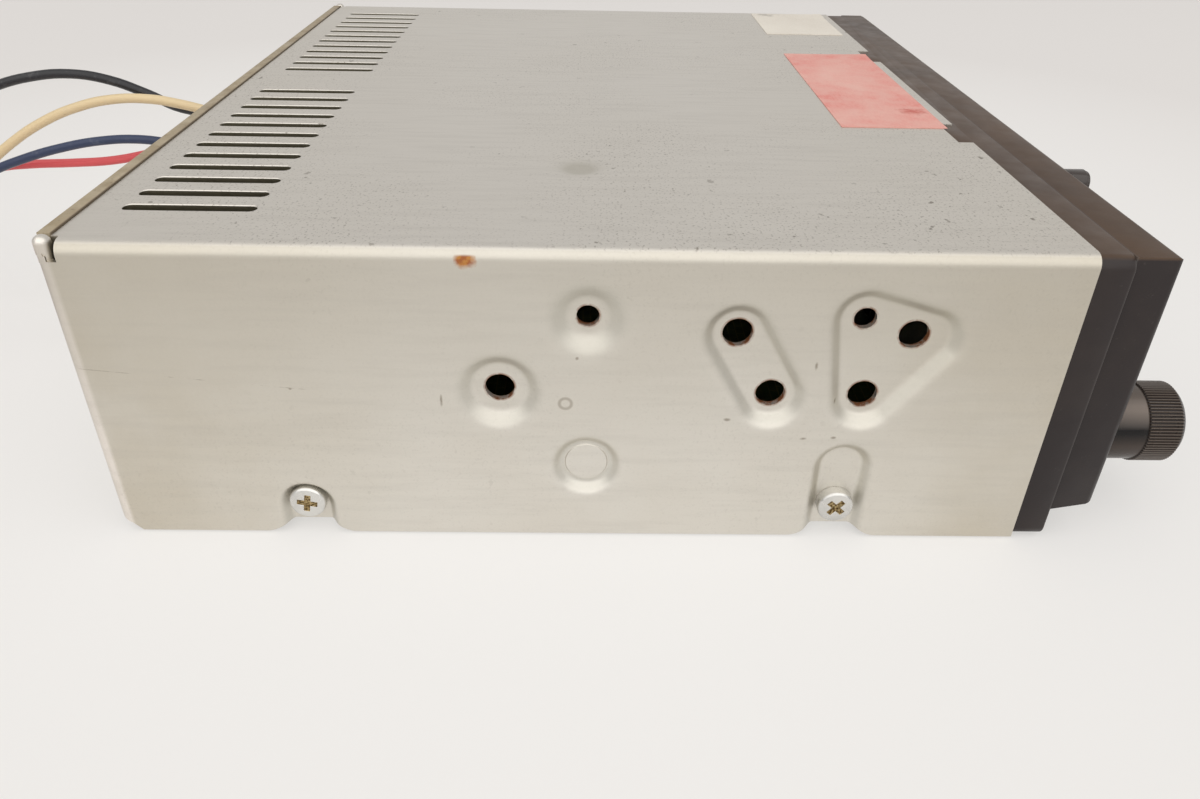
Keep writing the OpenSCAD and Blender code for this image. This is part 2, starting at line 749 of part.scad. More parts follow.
module control_shaft(x) {
    round_front = wall_y - bushing_len;
    translate([x, wall_y + sheet_t + shaft_inside, knob_z]) rotate([90, 0, 0]) {
        cylinder(h = wall_y + sheet_t + shaft_inside - round_front, r = shaft_d / 2);
        shaft_outline(wall_y + sheet_t + shaft_inside - knob_front - knob_wall - knob_gap, shaft_d / 2);
    }
}

module control_pot(x) {
    back = wall_y + sheet_t + seat_gap;
    translate([x, back + pot_depth, knob_z]) rotate([90, 0, 0]) difference() {
        union() {
            cylinder(h = pot_depth, r = pot_r);
            translate([-lug_size[0] / 2, -pot_r - lug_drop, pot_depth - lug_size[2] - 1]) cube(lug_size);
            cylinder(h = pot_depth + sheet_t + bushing_len, r = bushing_r);
        }
        translate([0, 0, pot_depth - shaft_inside - rim_gap])
            cylinder(h = sheet_t + bushing_len + shaft_inside + 1, r = shaft_d / 2 + shaft_fit);
    }
}

module control_nut(x) {
    translate([x, wall_y - seat_gap, knob_z]) rotate([90, 0, 0]) difference() {
        cylinder(h = nut_t, r = nut_af / sqrt(3), $fn = 6);
        translate([0, 0, -eps]) cylinder(h = nut_t + 2 * eps, r = bushing_r + screw_fit);
    }
}

module volume_knob() { color("#262322") control_knob(knob_x); }
module volume_shaft() { color("#c9c6bd") control_shaft(knob_x); }
module volume_pot() { color("#6f6a5d") control_pot(knob_x); }
module volume_nut() { color("#c9c6bd") control_nut(knob_x); }
module tone_knob() { color("#262322") control_knob(tone_x); }
module tone_shaft() { color("#c9c6bd") control_shaft(tone_x); }
module tone_pot() { color("#6f6a5d") control_pot(tone_x); }
module tone_nut() { color("#c9c6bd") control_nut(tone_x); }

// Power button with its stem, and the switch that guides the stem
module power_button() {
    cap_len = button_out + nose_wall + 1;
    cap_back = nose_y - button_out + cap_len;
    stem_len = wall_y + sheet_t + stem_in - cap_back;
    color("#262322") translate([button_x, 0, button_z]) {
        front_plane(cap_back) {
            linear_extrude(height = cap_len - button_edge) rounded_rect(button_w, button_h, button_round);
            translate([0, 0, cap_len - button_edge]) linear_extrude(height = button_edge)
                rounded_rect(button_w - button_edge, button_h - button_edge, button_round - button_edge / 2);
        }
        front_plane(cap_back + stem_len) linear_extrude(height = stem_len + eps)
            square(stem_w, center = true);
    }
}

module power_switch() {
    front = wall_y + sheet_t + seat_gap;
    bore_len = stem_in + button_travel + rim_gap;
    color("#3b3936") translate([button_x, 0, button_z]) difference() {
        front_plane(front + switch_size[1]) linear_extrude(height = switch_size[1])
            square([switch_size[0], switch_size[2]], center = true);
        front_plane(front + bore_len) linear_extrude(height = bore_len + eps)
            square(stem_w + 2 * stem_fit, center = true);
    }
}

// Pilot light in a plastic holder behind the front panel
module pilot_light() {
    r = pilot_d / 2;
    color("#b3261d") front_plane(nose_y + pilot_deep) translate([pilot_x, pilot_z, 0]) rotate_extrude() {
        square([r, pilot_deep - r / 2]);
        square([r + pilot_wall / 2, pilot_foot]);
        intersection() {
            translate([0, pilot_deep - r / 2]) circle(r);
            square([r, pilot_deep + r]);
        }
    }
}

module pilot_holder() {
    deep = pilot_deep - pilot_foot - seat_gap;
    color("#262322") front_plane(nose_y + deep) translate([pilot_x, pilot_z, 0]) difference() {
        union() {
            cylinder(h = deep + pilot_flange_t, r = pilot_d / 2 + pilot_wall);
            translate([0, 0, deep + seat_gap]) cylinder(h = pilot_flange_t, r = pilot_d / 2 + 2 * pilot_wall);
        }
        translate([0, 0, -eps])
            cylinder(h = pilot_deep + pilot_flange_t + 2 * eps, r = pilot_d / 2 + screw_fit);
    }
}

// Microphone jack, held to the front panel by a ring nut
module microphone_jack() {
    inner = nose_y + nose_wall + seat_gap;
    color("#3b3936") difference() {
        union() {
            front_plane(inner + jack_body[1]) linear_extrude(height = jack_body[1])
                translate([jack_x, jack_z]) rounded_rect(jack_body[0], jack_body[2], 1);
            front_plane(inner) translate([jack_x, jack_z, 0])
                cylinder(h = nose_wall + seat_gap + jack_out, r = jack_bush_r);
        }
        front_plane(inner + jack_body[1] - jack_wall) translate([jack_x, jack_z, 0])
            cylinder(h = jack_body[1] + nose_wall + jack_out, r = jack_d / 2 + shaft_fit);
    }
}

module jack_nut() {
    color("#c9c6bd") front_plane(nose_y - seat_gap) translate([jack_x, jack_z, 0]) difference() {
        cylinder(h = nut_t, r = jack_bush_r + nut_t);
        translate([0, 0, -eps]) cylinder(h = nut_t + 2 * eps, r = jack_bush_r + screw_fit);
    }
}

// Circuit board on four standoffs
module circuit_board() {
    color("#6b7d3c") difference() {
        translate([-board_x, board_front, board_z]) cube([2 * board_x, board_rear - board_front, board_t]);
        for (p = standoff_places) translate([p[0], p[1], board_z - eps])
            cylinder(h = board_t + 2 * eps, r = screw_hole_r);
    }
}

module board_standoffs() {
    color("#c8a85a") for (p = standoff_places) translate([p[0], p[1], 0]) difference() {
        union() {
            translate([0, 0, sheet_t]) cylinder(h = standoff_h, r = standoff_af / sqrt(3), $fn = 6);
            translate([0, 0, seat_gap]) cylinder(h = sheet_t, r = standoff_neck_r);
        }
        translate([0, 0, sheet_t + standoff_h - screw_len]) cylinder(h = screw_len + eps, r = screw_hole_r);
    }
}

module board_screws() {
    color("#d9d6cf") for (p = standoff_places) translate([p[0], p[1], board_top]) pan_screw(screw_len);
}

// Heat bracket against the rear panel, with two power chips
module heat_bracket() {
    w = bracket_x[1] - bracket_x[0];
    color("#c4c1b9") difference() {
        union() {
            translate([bracket_x[0], panel_y - seat_gap - bracket_t, bracket_z[0]])
                cube([w, bracket_t, bracket_z[1] - bracket_z[0]]);
            translate([bracket_x[0], panel_y - seat_gap - bracket_shelf, bracket_z[1] - bracket_t])
                cube([w, bracket_shelf, bracket_t]);
        }
        for (x = bracket_screw_x)
            front_plane(panel_y) translate([x, bracket_screw_z, 0])
                cylinder(h = 2 * bracket_t, r = screw_hole_r);
        for (x = chip_x)
            front_plane(panel_y) translate([x, chip_hole_z, 0]) cylinder(h = 2 * bracket_t, r = screw_hole_r);
    }
}

module bracket_screws() {
    color("#d9d6cf") for (x = bracket_screw_x)
        translate([x, rear_y, bracket_screw_z]) rotate([-90, 0, 0]) pan_screw(rear_t + bracket_t);
}

module power_chips() {
    back = panel_y - 2 * seat_gap - bracket_t;
    face = back - chip_size[1];
    color("#2e2d2c") for (x = chip_x) difference() {
        union() {
            translate([x - chip_size[0] / 2, face, chip_z]) cube(chip_size);
            for (i = [0:pin_count - 1])
                translate([x + (i - (pin_count - 1) / 2) * pin_pitch - pin_w / 2, face + pin_w, board_top])
                    cube([pin_w, pin_w, chip_z - board_top + eps]);
        }
        front_plane(back + eps) translate([x, chip_hole_z, 0])
            cylinder(h = chip_size[1] + 2 * eps, r = screw_hole_r);
    }
}

module chip_screws() {
    face = panel_y - 2 * seat_gap - bracket_t - chip_size[1];
    color("#d9d6cf") for (x = chip_x)
        translate([x, face, chip_hole_z]) rotate([90, 0, 0]) pan_screw(chip_size[1] + bracket_t / 2);
}

// Output transformer: a stack of laminations round a winding
module transformer_core() {
    window = [(core_size[0] - 4 * core_limb) / 2, core_size[2] - 2 * core_limb];
    color("#7d7870") translate([core_place[0], core_place[1] + core_size[1] / 2, board_top])
        rotate([90, 0, 0]) linear_extrude(height = core_size[1]) difference() {
            translate([-core_size[0] / 2, 0]) square([core_size[0], core_size[2]]);
            for (x = [-1, 1])
                translate([x * (core_limb + window[0] / 2) - window[0] / 2, core_limb]) square(window);
        }
}

module transformer_winding() {
    wide = core_size[0] / 2 - core_limb - winding_gap;
    deep = core_size[1] / 2 + winding_wrap;
    h = core_size[2] - 2 * core_limb - 2 * winding_gap;
    color("#b98d3e") translate([core_place[0], core_place[1], board_top + core_limb + winding_gap])
        linear_extrude(height = h) difference() {
            rounded_rect(2 * wide, 2 * deep, 2.5);
            square([2 * (core_limb + winding_gap), core_size[1] + 2 * winding_gap], center = true);
        }
}

// Upright cans with a rolled groove near the foot and a shallow dish on top
module can(r, h) {
    edge = 0.6;
    groove_r = 0.8;
    rotate_extrude() difference() {
        union() {
            square([r - edge, h]);
            square([r, h - edge]);
            translate([r - edge, h - edge]) circle(edge);
        }
        translate([r + groove_r / 2, 3 * groove_r]) circle(groove_r);
        translate([-r, 0]) square([r, h]);
        translate([-r, h - edge / 2]) square([2 * r - 3 * edge, edge]);
    }
}

module filter_capacitors() {
    color("#2f4a78") for (c = filter_cans) translate([c[0], c[1], board_top]) can(c[2], c[3]);
}

module small_capacitors() {
    color("#24282f") for (c = small_cans) translate([c[0], c[1], board_top]) can(c[2], c[3]);
}

// Rubber grommets with two bores each
module grommet(x, lead_d) {
    neck = grommet_r - seat_gap;
    wide = grommet_r + grommet_flange;
    color("#1f1d1c") front_plane(rear_y + grommet_flange_t) translate([x, grommet_z, 0]) difference() {
        union() {
            cylinder(h = grommet_flange_t - seat_gap, r1 = wide - 0.6, r2 = wide);
            cylinder(h = rear_t + 2 * grommet_flange_t, r = neck);
            translate([0, 0, rear_t + grommet_flange_t + seat_gap])
                cylinder(h = grommet_flange_t - seat_gap, r1 = wide, r2 = wide - 0.6);
        }
        for (side = [-1, 1]) translate([side * lead_spread, 0, -eps])
            cylinder(h = rear_t + 2 * grommet_flange_t + 2 * eps, r = lead_d / 2 + lead_fit);
    }
}

module speaker_grommet() { grommet(speaker_grommet_x, speaker_lead_d); }
module power_grommet() { grommet(power_grommet_x, power_lead_d); }

// A tube swept through points: a ring on each point, square to the way it runs
function sweep_ring(p, i, d, sides, ref) =
    let (n = len(p) - 1,
        t = unit(p[min(i + 1, n)] - p[max(i - 1, 0)]),
        a = unit(ref - (ref * t) * t),
        b = cross(t, a))
    [for (k = [0:sides - 1]) p[i] + d / 2 * (cos(360 * k / sides) * a + sin(360 * k / sides) * b)];

module tube(p, d, sides, ref) {
    n = len(p);
    points = [for (i = [0:n - 1]) each sweep_ring(p, i, d, sides, ref)];
    walls = [for (i = [0:n - 2], k = [0:sides - 1])
        let (k2 = (k + 1) % sides, a = i * sides, b = a + sides)
        each [[a + k, b + k, a + k2], [a + k2, b + k, b + k2]]];
    first = [for (k = [1:sides - 2]) [0, k, k + 1]];
    last = [for (k = [1:sides - 2]) [(n - 1) * sides, (n - 1) * sides + k + 1, (n - 1) * sides + k]];
    polyhedron(points, concat(first, walls, last));
}

// A smooth curve through the route's points, with one more point between each two
function midway(p, i) =
    let (n = len(p) - 1, a = p[max(i - 1, 0)], b = p[i], c = p[i + 1], d = p[min(i + 2, n)])
    (9 * (b + c) - a - d) / 16;
function smooth(p) = [for (i = [0:2 * len(p) - 2]) i % 2 == 0 ? p[i / 2] : midway(p, (i - 1) / 2)];

// A lead's points: through its grommet from inside the panel, then along its route
function lead_points(route) =
    let (start = route[0])
    concat([[start[0], panel_y - grommet_flange_t, start[2]]],
        smooth([for (q = route) [q[0], rear_y + q[1], q[2]]]));
function path_length(p) = len(p) < 2 ? 0 : [for (i = 0, s = 0; i < len(p); i = i + 1,
    s = s + (i < len(p) ? norm(p[i] - p[i - 1]) : 0)) s][len(p) - 1];

module lead(route, d) {
    tube(lead_points(route), d, 8, [1, 0, 0]);
}

module black_lead() { color("#26262a") lead(black_route, speaker_lead_d); }
module cream_lead() { color("#d8c393") lead(cream_route, speaker_lead_d); }
module blue_lead() { color("#2f4468") lead(blue_route, power_lead_d); }
module red_lead() { color("#d64a45") lead(red_route, power_lead_d); }

// A lead's coil: it enters the upper layer, spirals in, drops a layer and spirals out to a straight tail
function coil_low(d) = tie_t + tie_gap + d / 2;
function coil_rate(d) = d + coil_gap;
function coil_outer(d) = coil_radius * d + coil_rate(d) * coil_loops / 4;
function coil_turn(d, t) =
    let (half = coil_loops / 2,
        r = coil_outer(d) - coil_rate(d) * (t < half ? t : coil_loops - t),
        drop = min(max((t - half) * 2 + 0.5, 0), 1),
        z = coil_low(d) + coil_rate(d) * (1 - drop * drop * (3 - 2 * drop)),
        a = 360 * t)
    [r * cos(a), r * sin(a), z];
function coil_points(d) = concat(
    [[coil_outer(d), -d, coil_low(d) + coil_rate(d)]],
    [for (i = [0:coil_loops * rings_per_loop]) coil_turn(d, i / rings_per_loop)],
    [for (s = [0.35, 0.7, 1]) [coil_outer(d), s * tail_len, coil_low(d)]]);
function coil_at(route, d) =
    let (end = route[len(route) - 1])
    [end[0], rear_y + end[1] + d, end[2] - coil_low(d) - coil_rate(d)];

// Places a coil so that its first ring meets the lead's last one: way = -1 turns it to the right
module place_coil(route, d, way) {
    translate(coil_at(route, d)) mirror([way < 0 ? 1 : 0, 0, 0]) translate([-coil_outer(d), 0, 0]) children();
}

module coil(route, d, way) {
    place_coil(route, d, way) tube(coil_points(d), d, 6, [0, 0, 1]);
}

module black_coil() { color("#26262a") coil(black_route, speaker_lead_d, -1); }
module cream_coil() { color("#d8c393") coil(cream_route, speaker_lead_d, -1); }
module blue_coil() { color("#2f4468") coil(blue_route, power_lead_d, 1); }
module red_coil() { color("#d64a45") coil(red_route, power_lead_d, 1); }

// Least gap between the turns of a coil, measured on its points
function coil_clear(d) =
    let (p = coil_points(d), apart = round(rings_per_loop * 0.6))
    min([for (i = [0:len(p) - 1], j = [i + 1:len(p) - 1]) if (j - i > apart) norm(p[i] - p[j])]) - d;

// Bullet connector on a lead's end: an insulating sleeve and a metal tip
module connector(route, d, way) {
    sleeve_len = connector_len - tip_len;
    place_coil(route, d, way) translate([coil_outer(d), tail_len + seat_gap, coil_low(d)])
        rotate([-90, 0, 0]) {
        cylinder(h = sleeve_len, r = sleeve_r);
        cylinder(h = connector_len - tip_end, r = tip_r);
        translate([0, 0, connector_len - tip_end]) cylinder(h = tip_end, r1 = tip_r, r2 = tip_r / 2);
    }
}

module black_connector() { color("#b8342c") connector(black_route, speaker_lead_d, -1); }
module cream_connector() { color("#b8342c") connector(cream_route, speaker_lead_d, -1); }
module blue_connector() { color("#b8342c") connector(blue_route, power_lead_d, 1); }
module red_connector() { color("#b8342c") connector(red_route, power_lead_d, 1); }

// A tie's band round the turns of a coil, on its far side
module coil_tie(route, d, way) {
    w = coil_rate(d) * (coil_loops / 2) + d + 2 * tie_gap;
    h = coil_rate(d) + d + 2 * tie_gap;
    mid = coil_outer(d) - coil_rate(d) * coil_loops / 4;
    place_coil(route, d, way) rotate(90) translate([mid, tie_w / 2, tie_t + h / 2]) rotate([90, 0, 0])
        linear_extrude(height = tie_w) difference() {
            rounded_rect(w + 2 * tie_t, h + 2 * tie_t, 1);
            rounded_rect(w, h, 0.6);
        }
}

module lead_ties() {
    color("#26262a") {
        coil_tie(black_route, speaker_lead_d, -1);
        coil_tie(cream_route, speaker_lead_d, -1);
        coil_tie(blue_route, power_lead_d, 1);
        coil_tie(red_route, power_lead_d, 1);
    }
}

echo(speaker_coil_gap = coil_clear(speaker_lead_d), power_coil_gap = coil_clear(power_lead_d));
echo(black = path_length(lead_points(black_route)) + path_length(coil_points(speaker_lead_d)));
echo(cream = path_length(lead_points(cream_route)) + path_length(coil_points(speaker_lead_d)));
echo(blue = path_length(lead_points(blue_route)) + path_length(coil_points(power_lead_d)));
echo(red = path_length(lead_points(red_route)) + path_length(coil_points(power_lead_d)));

cover();
chassis_tray();
rear_panel();
front_frame();
front_panel();
cover_screws();
rear_screws();
panel_screws();
red_label();
white_label();
volume_knob();
volume_shaft();
volume_pot();
volume_nut();
tone_knob();
tone_shaft();
tone_pot();
tone_nut();
power_button();
power_switch();
pilot_light();
pilot_holder();
microphone_jack();
jack_nut();
circuit_board();
board_standoffs();
board_screws();
heat_bracket();
bracket_screws();
power_chips();
chip_screws();
transformer_core();
transformer_winding();
filter_capacitors();
small_capacitors();
speaker_grommet();
power_grommet();
black_lead();
cream_lead();
blue_lead();
red_lead();
black_coil();
cream_coil();
blue_coil();
red_coil();
black_connector();
cream_connector();
blue_connector();
red_connector();
lead_ties();
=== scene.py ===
import math
import bmesh
import bpy
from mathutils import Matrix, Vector


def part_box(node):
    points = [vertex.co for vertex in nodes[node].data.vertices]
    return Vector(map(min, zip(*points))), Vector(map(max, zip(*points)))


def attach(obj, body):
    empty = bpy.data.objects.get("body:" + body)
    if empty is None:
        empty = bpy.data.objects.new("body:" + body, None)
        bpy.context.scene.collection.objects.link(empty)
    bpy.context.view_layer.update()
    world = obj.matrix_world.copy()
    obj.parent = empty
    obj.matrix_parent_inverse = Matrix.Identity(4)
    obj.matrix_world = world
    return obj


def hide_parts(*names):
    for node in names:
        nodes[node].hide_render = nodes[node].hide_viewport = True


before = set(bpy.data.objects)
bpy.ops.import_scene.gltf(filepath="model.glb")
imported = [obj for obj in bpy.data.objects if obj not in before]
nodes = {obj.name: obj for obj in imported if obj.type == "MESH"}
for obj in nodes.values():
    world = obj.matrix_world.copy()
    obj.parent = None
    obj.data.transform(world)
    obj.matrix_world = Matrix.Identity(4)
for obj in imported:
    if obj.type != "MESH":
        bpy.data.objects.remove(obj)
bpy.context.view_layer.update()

MM = 0.001

# Main planes of the case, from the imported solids
cover_low, cover_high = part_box("cover")
half_w = cover_high.x
rear_y = cover_high.y
front_y = cover_low.y
edge_z = cover_low.z
lip_z = cover_high.z
panel_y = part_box("rear_panel")[0].y
top_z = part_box("red_label")[0].z
sheet_rear = panel_y - 0.05 * MM
sheet_t = 1.0 * MM
bend_r = 2.0 * MM
roll_r = rear_y - panel_y
crown_h = 1.9 * MM
lip_drop = 0.75 * MM
crown_z = lip_z - lip_drop

# Pressed recesses of a side: distance from the rear face, height
upper_dimple = (74.9, 39.2)
middle_dimple = (61.9, 27.1)
lower_dimple = (74.9, 13.8)
pair_upper = (96.5, 36.8)
pair_lower = (102.4, 26.6)
trio_upper = (122.1, 36.8)
trio_lower = (116.3, 26.6)
trio_corner = (123.9, 36.6)
trio_small = (114.6, 39.3)
rear_case_screw = (30.6, 6.1)
front_case_screw = (115.1, 6.1)
rear_channel_top = 8.2
front_channel_top = 16.4
channel_end = -8
press_depth = 1.8 * MM
blind_depth = press_depth * 0.8
bend_steps, roll_steps = 8, 6
mount_hole_r = 2.2 * MM
small_hole_r = 1.65 * MM
screw_hole_r = 1.56 * MM

# Radii of each recess in millimetres: its floor, the top of its wall, and where the sheet starts to sag
upper_radii = (2.1, 6.6, 7.8)
middle_radii = (3.5, 7.1, 8.4)
lower_radii = (3.6, 5.9, 6.9)
web_radii = (2.9, 6.0, 6.6)
rear_channel_radii = (2.8, 4.8, 5.6)
front_channel_radii = (2.8, 5.2, 5.8)
dent_radii = (0.8, 5.2, 9.5)

# Leads: diameters and routes, as across, distance behind the rear face, height
speaker_lead_d = 2.0
power_lead_d = 1.7
black_route = [
    (-1.6, 2, 43.5), (-1.6, 6, 43.3), (-1.6, 13, 43.9), (-1.6, 20, 47), (-1.6, 27, 49.6), (-1.6, 35, 50.8),
    (-1.6, 44, 50), (-1.6, 52, 47.9), (-1, 60, 44.6), (1, 68.5, 39.8), (5, 77, 33.5), (11, 84.5, 26),
    (17, 91, 18.6), (22, 97, 12), (25, 103, 7.4), (26, 110, 5.3), (26, 116, 4.9), (26, 120, 4.9)]
cream_route = [(-5, back, z) for back, z in (
    (2, 43.5), (6, 44.4), (12, 45.8), (18, 46.7), (26, 46.5), (34, 44.7), (42, 41.5), (50, 36.9), (58, 31), (66, 24.4),
    (74, 17.6), (81, 12), (88, 7.9), (95, 5.8), (102, 5), (107, 4.9), (110, 4.9))]
blue_route = [
    (-27, 2, 43.5), (-27, 6, 44.3), (-27, 12, 44.9), (-27, 19, 44.5), (-27, 27, 43), (-27, 35, 40.7),
    (-27, 43, 37.6), (-29, 51, 33.2), (-33, 58, 27.6), (-38.5, 64, 21), (-44.5, 69.5, 14), (-50, 75, 8.4),
    (-54, 81, 5.4), (-55, 86, 4.45), (-55, 89, 4.45)]
red_route = [
    (-23.6, 2, 43.5), (-23.6, 7, 42.4), (-23.6, 13, 40.8), (-23.6, 20, 39.5), (-23.6, 28, 38.9), (-23.6, 36, 38.5),
    (-23.6, 43, 37.6), (-23.6, 50, 35), (-23.6, 57, 30.6), (-23.6, 63, 25), (-23.7, 68.5, 18.4),
    (-23.9, 74, 12), (-24, 80, 7), (-24, 86, 4.9), (-24, 90, 4.45), (-24, 93, 4.45)]
inside_start = (rear_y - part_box("speaker_grommet")[0].y) / MM
coil_loops = 3
coil_gap = 0.55
coil_radius = 5.5
rings_per_loop = 24
tie_t = 0.7
tie_gap = 0.3
tail_len = 8
sleeve_len = 10.02


# Camera at the photograph's viewing angle: place in millimetres, turn in degrees
camera_lens = 27.652
camera_sensor = 36
camera_place = (-204.2, -2.0, 99.8)
camera_turn = (57.427, -1.039, -90.497)


def set_camera():
    data = bpy.data.cameras.new("photo_camera")
    data.lens = camera_lens
    data.sensor_width = camera_sensor
    data.clip_start = 5 * MM
    camera = new_object("photo_camera", data)
    camera.location = Vector(camera_place) * MM
    camera.rotation_euler = [math.radians(a) for a in camera_turn]
    bpy.context.scene.camera = camera


# Small modelling steps
def new_object(name, data):
    obj = bpy.data.objects.new(name, data)
    bpy.context.scene.collection.objects.link(obj)
    return obj


def clear():
    bpy.ops.object.select_all(action="DESELECT")


def focus(obj):
    clear()
    obj.select_set(True)
    bpy.context.view_layer.objects.active = obj


def settle(name):
    """Names the new object and puts its place into its mesh."""
    obj = bpy.context.object
    obj.name = name
    bpy.ops.object.transform_apply(location=True, rotation=True, scale=True)
    return obj


def edit(obj, select="DESELECT"):
    focus(obj)
    bpy.ops.object.mode_set(mode="EDIT")
    bpy.ops.mesh.select_mode(type="VERT")
    bpy.ops.mesh.select_all(action=select)


def done():
    bpy.ops.object.mode_set(mode="OBJECT")


def pick_verts(obj, test):
    """Selects the vertices that pass the test."""
    bpy.ops.mesh.select_mode(type="VERT")
    bpy.ops.mesh.select_all(action="DESELECT")
    mesh = bmesh.from_edit_mesh(obj.data)
    mesh.verts.index_update()
    for v in mesh.verts:
        v.select_set(test(v))
    mesh.select_flush(True)
    bmesh.update_edit_mesh(obj.data)


def pick(obj, test):
    """Selects the vertices whose place passes the test."""
    pick_verts(obj, lambda v: test(v.co))


def pick_edges(obj, test):
    """Selects the edges that pass the test."""
    bpy.ops.mesh.select_mode(type="EDGE")
    bpy.ops.mesh.select_all(action="DESELECT")
    mesh = bmesh.from_edit_mesh(obj.data)
    for e in mesh.edges:
        if test(e):
            e.select_set(True)
    bmesh.update_edit_mesh(obj.data)


def near(a, b, room=0.02 * MM):
    return abs(a - b) < room


def facing(along):
    """The turn that makes a flat primitive face along an axis."""
    return abs(along.y) * math.pi / 2, abs(along.x) * math.pi / 2, 0


def add_ring(radius, centre, along, sides):
    bpy.ops.mesh.primitive_circle_add(
        vertices=sides, radius=radius, fill_type="NOTHING", location=centre, rotation=facing(along))


def ring_object(name, radius, centre, along, sides):
    """A new object that is one ring, open for editing."""
    clear()
    add_ring(radius, centre, along, sides)
    obj = settle(name)
    edit(obj, "SELECT")
    return obj


def scale_ring(factor, centre, along):
    value = [1 + (1 - abs(a)) * (factor - 1) for a in along]
    bpy.ops.transform.resize(value=value, center_override=centre)


def push(shift):
    """Extrudes the selected edges by a shift."""
    bpy.ops.mesh.extrude_edges_move(TRANSFORM_OT_translate={"value": shift})


def loft(rings, centre, along):
    """Extrudes the selected ring through (radius, distance) pairs."""
    radius, distance = rings[0]
    for next_radius, next_distance in rings[1:]:
        push(along * (next_distance - distance))
        scale_ring(next_radius / radius, centre + along * next_distance, along)
        radius, distance = next_radius, next_distance


def face_outwards():
    bpy.ops.mesh.select_all(action="SELECT")
    bpy.ops.mesh.normals_make_consistent(inside=False)


def closed_ring(name, rings, centre, along, sides):
    """A disc whose rim is lofted along an axis, left open at its far end."""
    obj = ring_object(name, rings[0][0], centre + along * rings[0][1], along, sides)
    bpy.ops.mesh.edge_face_add()
    pick_edges(obj, lambda e: True)
    loft(rings, centre, along)
    return obj


def turned(name, rings, centre, along, sides):
    """A turned piece: a ring lofted along its axis, closed at both ends."""
    obj = closed_ring(name, rings, centre, along, sides)
    bpy.ops.mesh.edge_face_add()
    face_outwards()
    done()
    return obj


def box_piece(name, low, high):
    clear()
    low, high = Vector(low), Vector(high)
    bpy.ops.mesh.primitive_cube_add(size=1, location=(low + high) / 2)
    bpy.context.object.scale = high - low
    return settle(name)


def apply_modifiers(obj):
    focus(obj)
    for modifier in list(obj.modifiers):
        bpy.ops.object.modifier_apply(modifier=modifier.name)


def join(objs, name):
    clear()
    for obj in objs:
        obj.select_set(True)
    bpy.context.view_layer.objects.active = objs[0]
    bpy.ops.object.join()
    objs[0].name = name
    return objs[0]


def smooth(obj, angle=35):
    focus(obj)
    bpy.ops.object.shade_smooth_by_angle(angle=math.radians(angle))


def round_edges(obj, width, segments=2, angle=40):
    bevel = obj.modifiers.new("edges", "BEVEL")
    bevel.width = width
    bevel.segments = segments
    bevel.limit_method = "ANGLE"
    bevel.angle_limit = math.radians(angle)
    apply_modifiers(obj)


def mirrored(obj):
    """Adds the same on the other side of the case."""
    mirror = obj.modifiers.new("other_side", "MIRROR")
    mirror.use_mirror_merge = False
    apply_modifiers(obj)
    return obj


def thicken(obj, thickness, offset, even=False):
    wall = obj.modifiers.new("wall", "SOLIDIFY")
    wall.thickness = thickness
    wall.offset = offset
    wall.use_even_offset = even
    apply_modifiers(obj)


def cut(obj, cutter):
    trim = obj.modifiers.new("trim", "BOOLEAN")
    trim.operation = "DIFFERENCE"
    trim.solver = "EXACT"
    trim.object = cutter
    apply_modifiers(obj)
    bpy.data.objects.remove(cutter)


def side_prism(name, outline, place):
    """An outline drawn on the left side, as a solid that goes through the sheet."""
    data = bpy.data.curves.new(name, "CURVE")
    data.dimensions = "2D"
    data.fill_mode = "BOTH"
    data.extrude = cut_depth / 2
    spline = data.splines.new("POLY")
    spline.points.add(len(outline) - 1)
    for point, (x, y) in zip(spline.points, outline):
        point.co = (x, y, 0, 1)
    spline.use_cyclic_u = True
    obj = new_object(name, data)
    obj.location = place
    obj.rotation_euler = (math.pi / 2, 0, math.pi / 2)
    focus(obj)
    bpy.ops.object.convert(target="MESH")
    obj = settle(name)
    edit(obj, "SELECT")
    bpy.ops.mesh.remove_doubles(threshold=0.001 * MM)
    face_outwards()
    done()
    return obj


def softened(node, width, segments=2, angle=40):
    """A copy of a solid with merged faces and softly rounded edges, which stands for it."""
    obj = new_object(node + "_piece", nodes[node].data.copy())
    edit(obj, "SELECT")
    bpy.ops.mesh.remove_doubles(threshold=0.002 * MM)
    bpy.ops.mesh.dissolve_limited(angle_limit=math.radians(0.5))
    done()
    round_edges(obj, width, segments, angle)
    smooth(obj)
    return obj


def coat(obj, finish):
    obj.data.materials.clear()
    obj.data.materials.append(finish)


def place_piece(obj, finish, body, slot, *stands_for):
    coat(obj, finish)
    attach(obj, body)
    if stands_for:
        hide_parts(*stands_for)
    return obj


def place_softened(finish, body, slot, width, *names, segments=2):
    """Puts softened copies of solids in one finish in the solids' stead."""
    for name in names:
        place_piece(softened(name, width, segments), finish, body, slot, name)


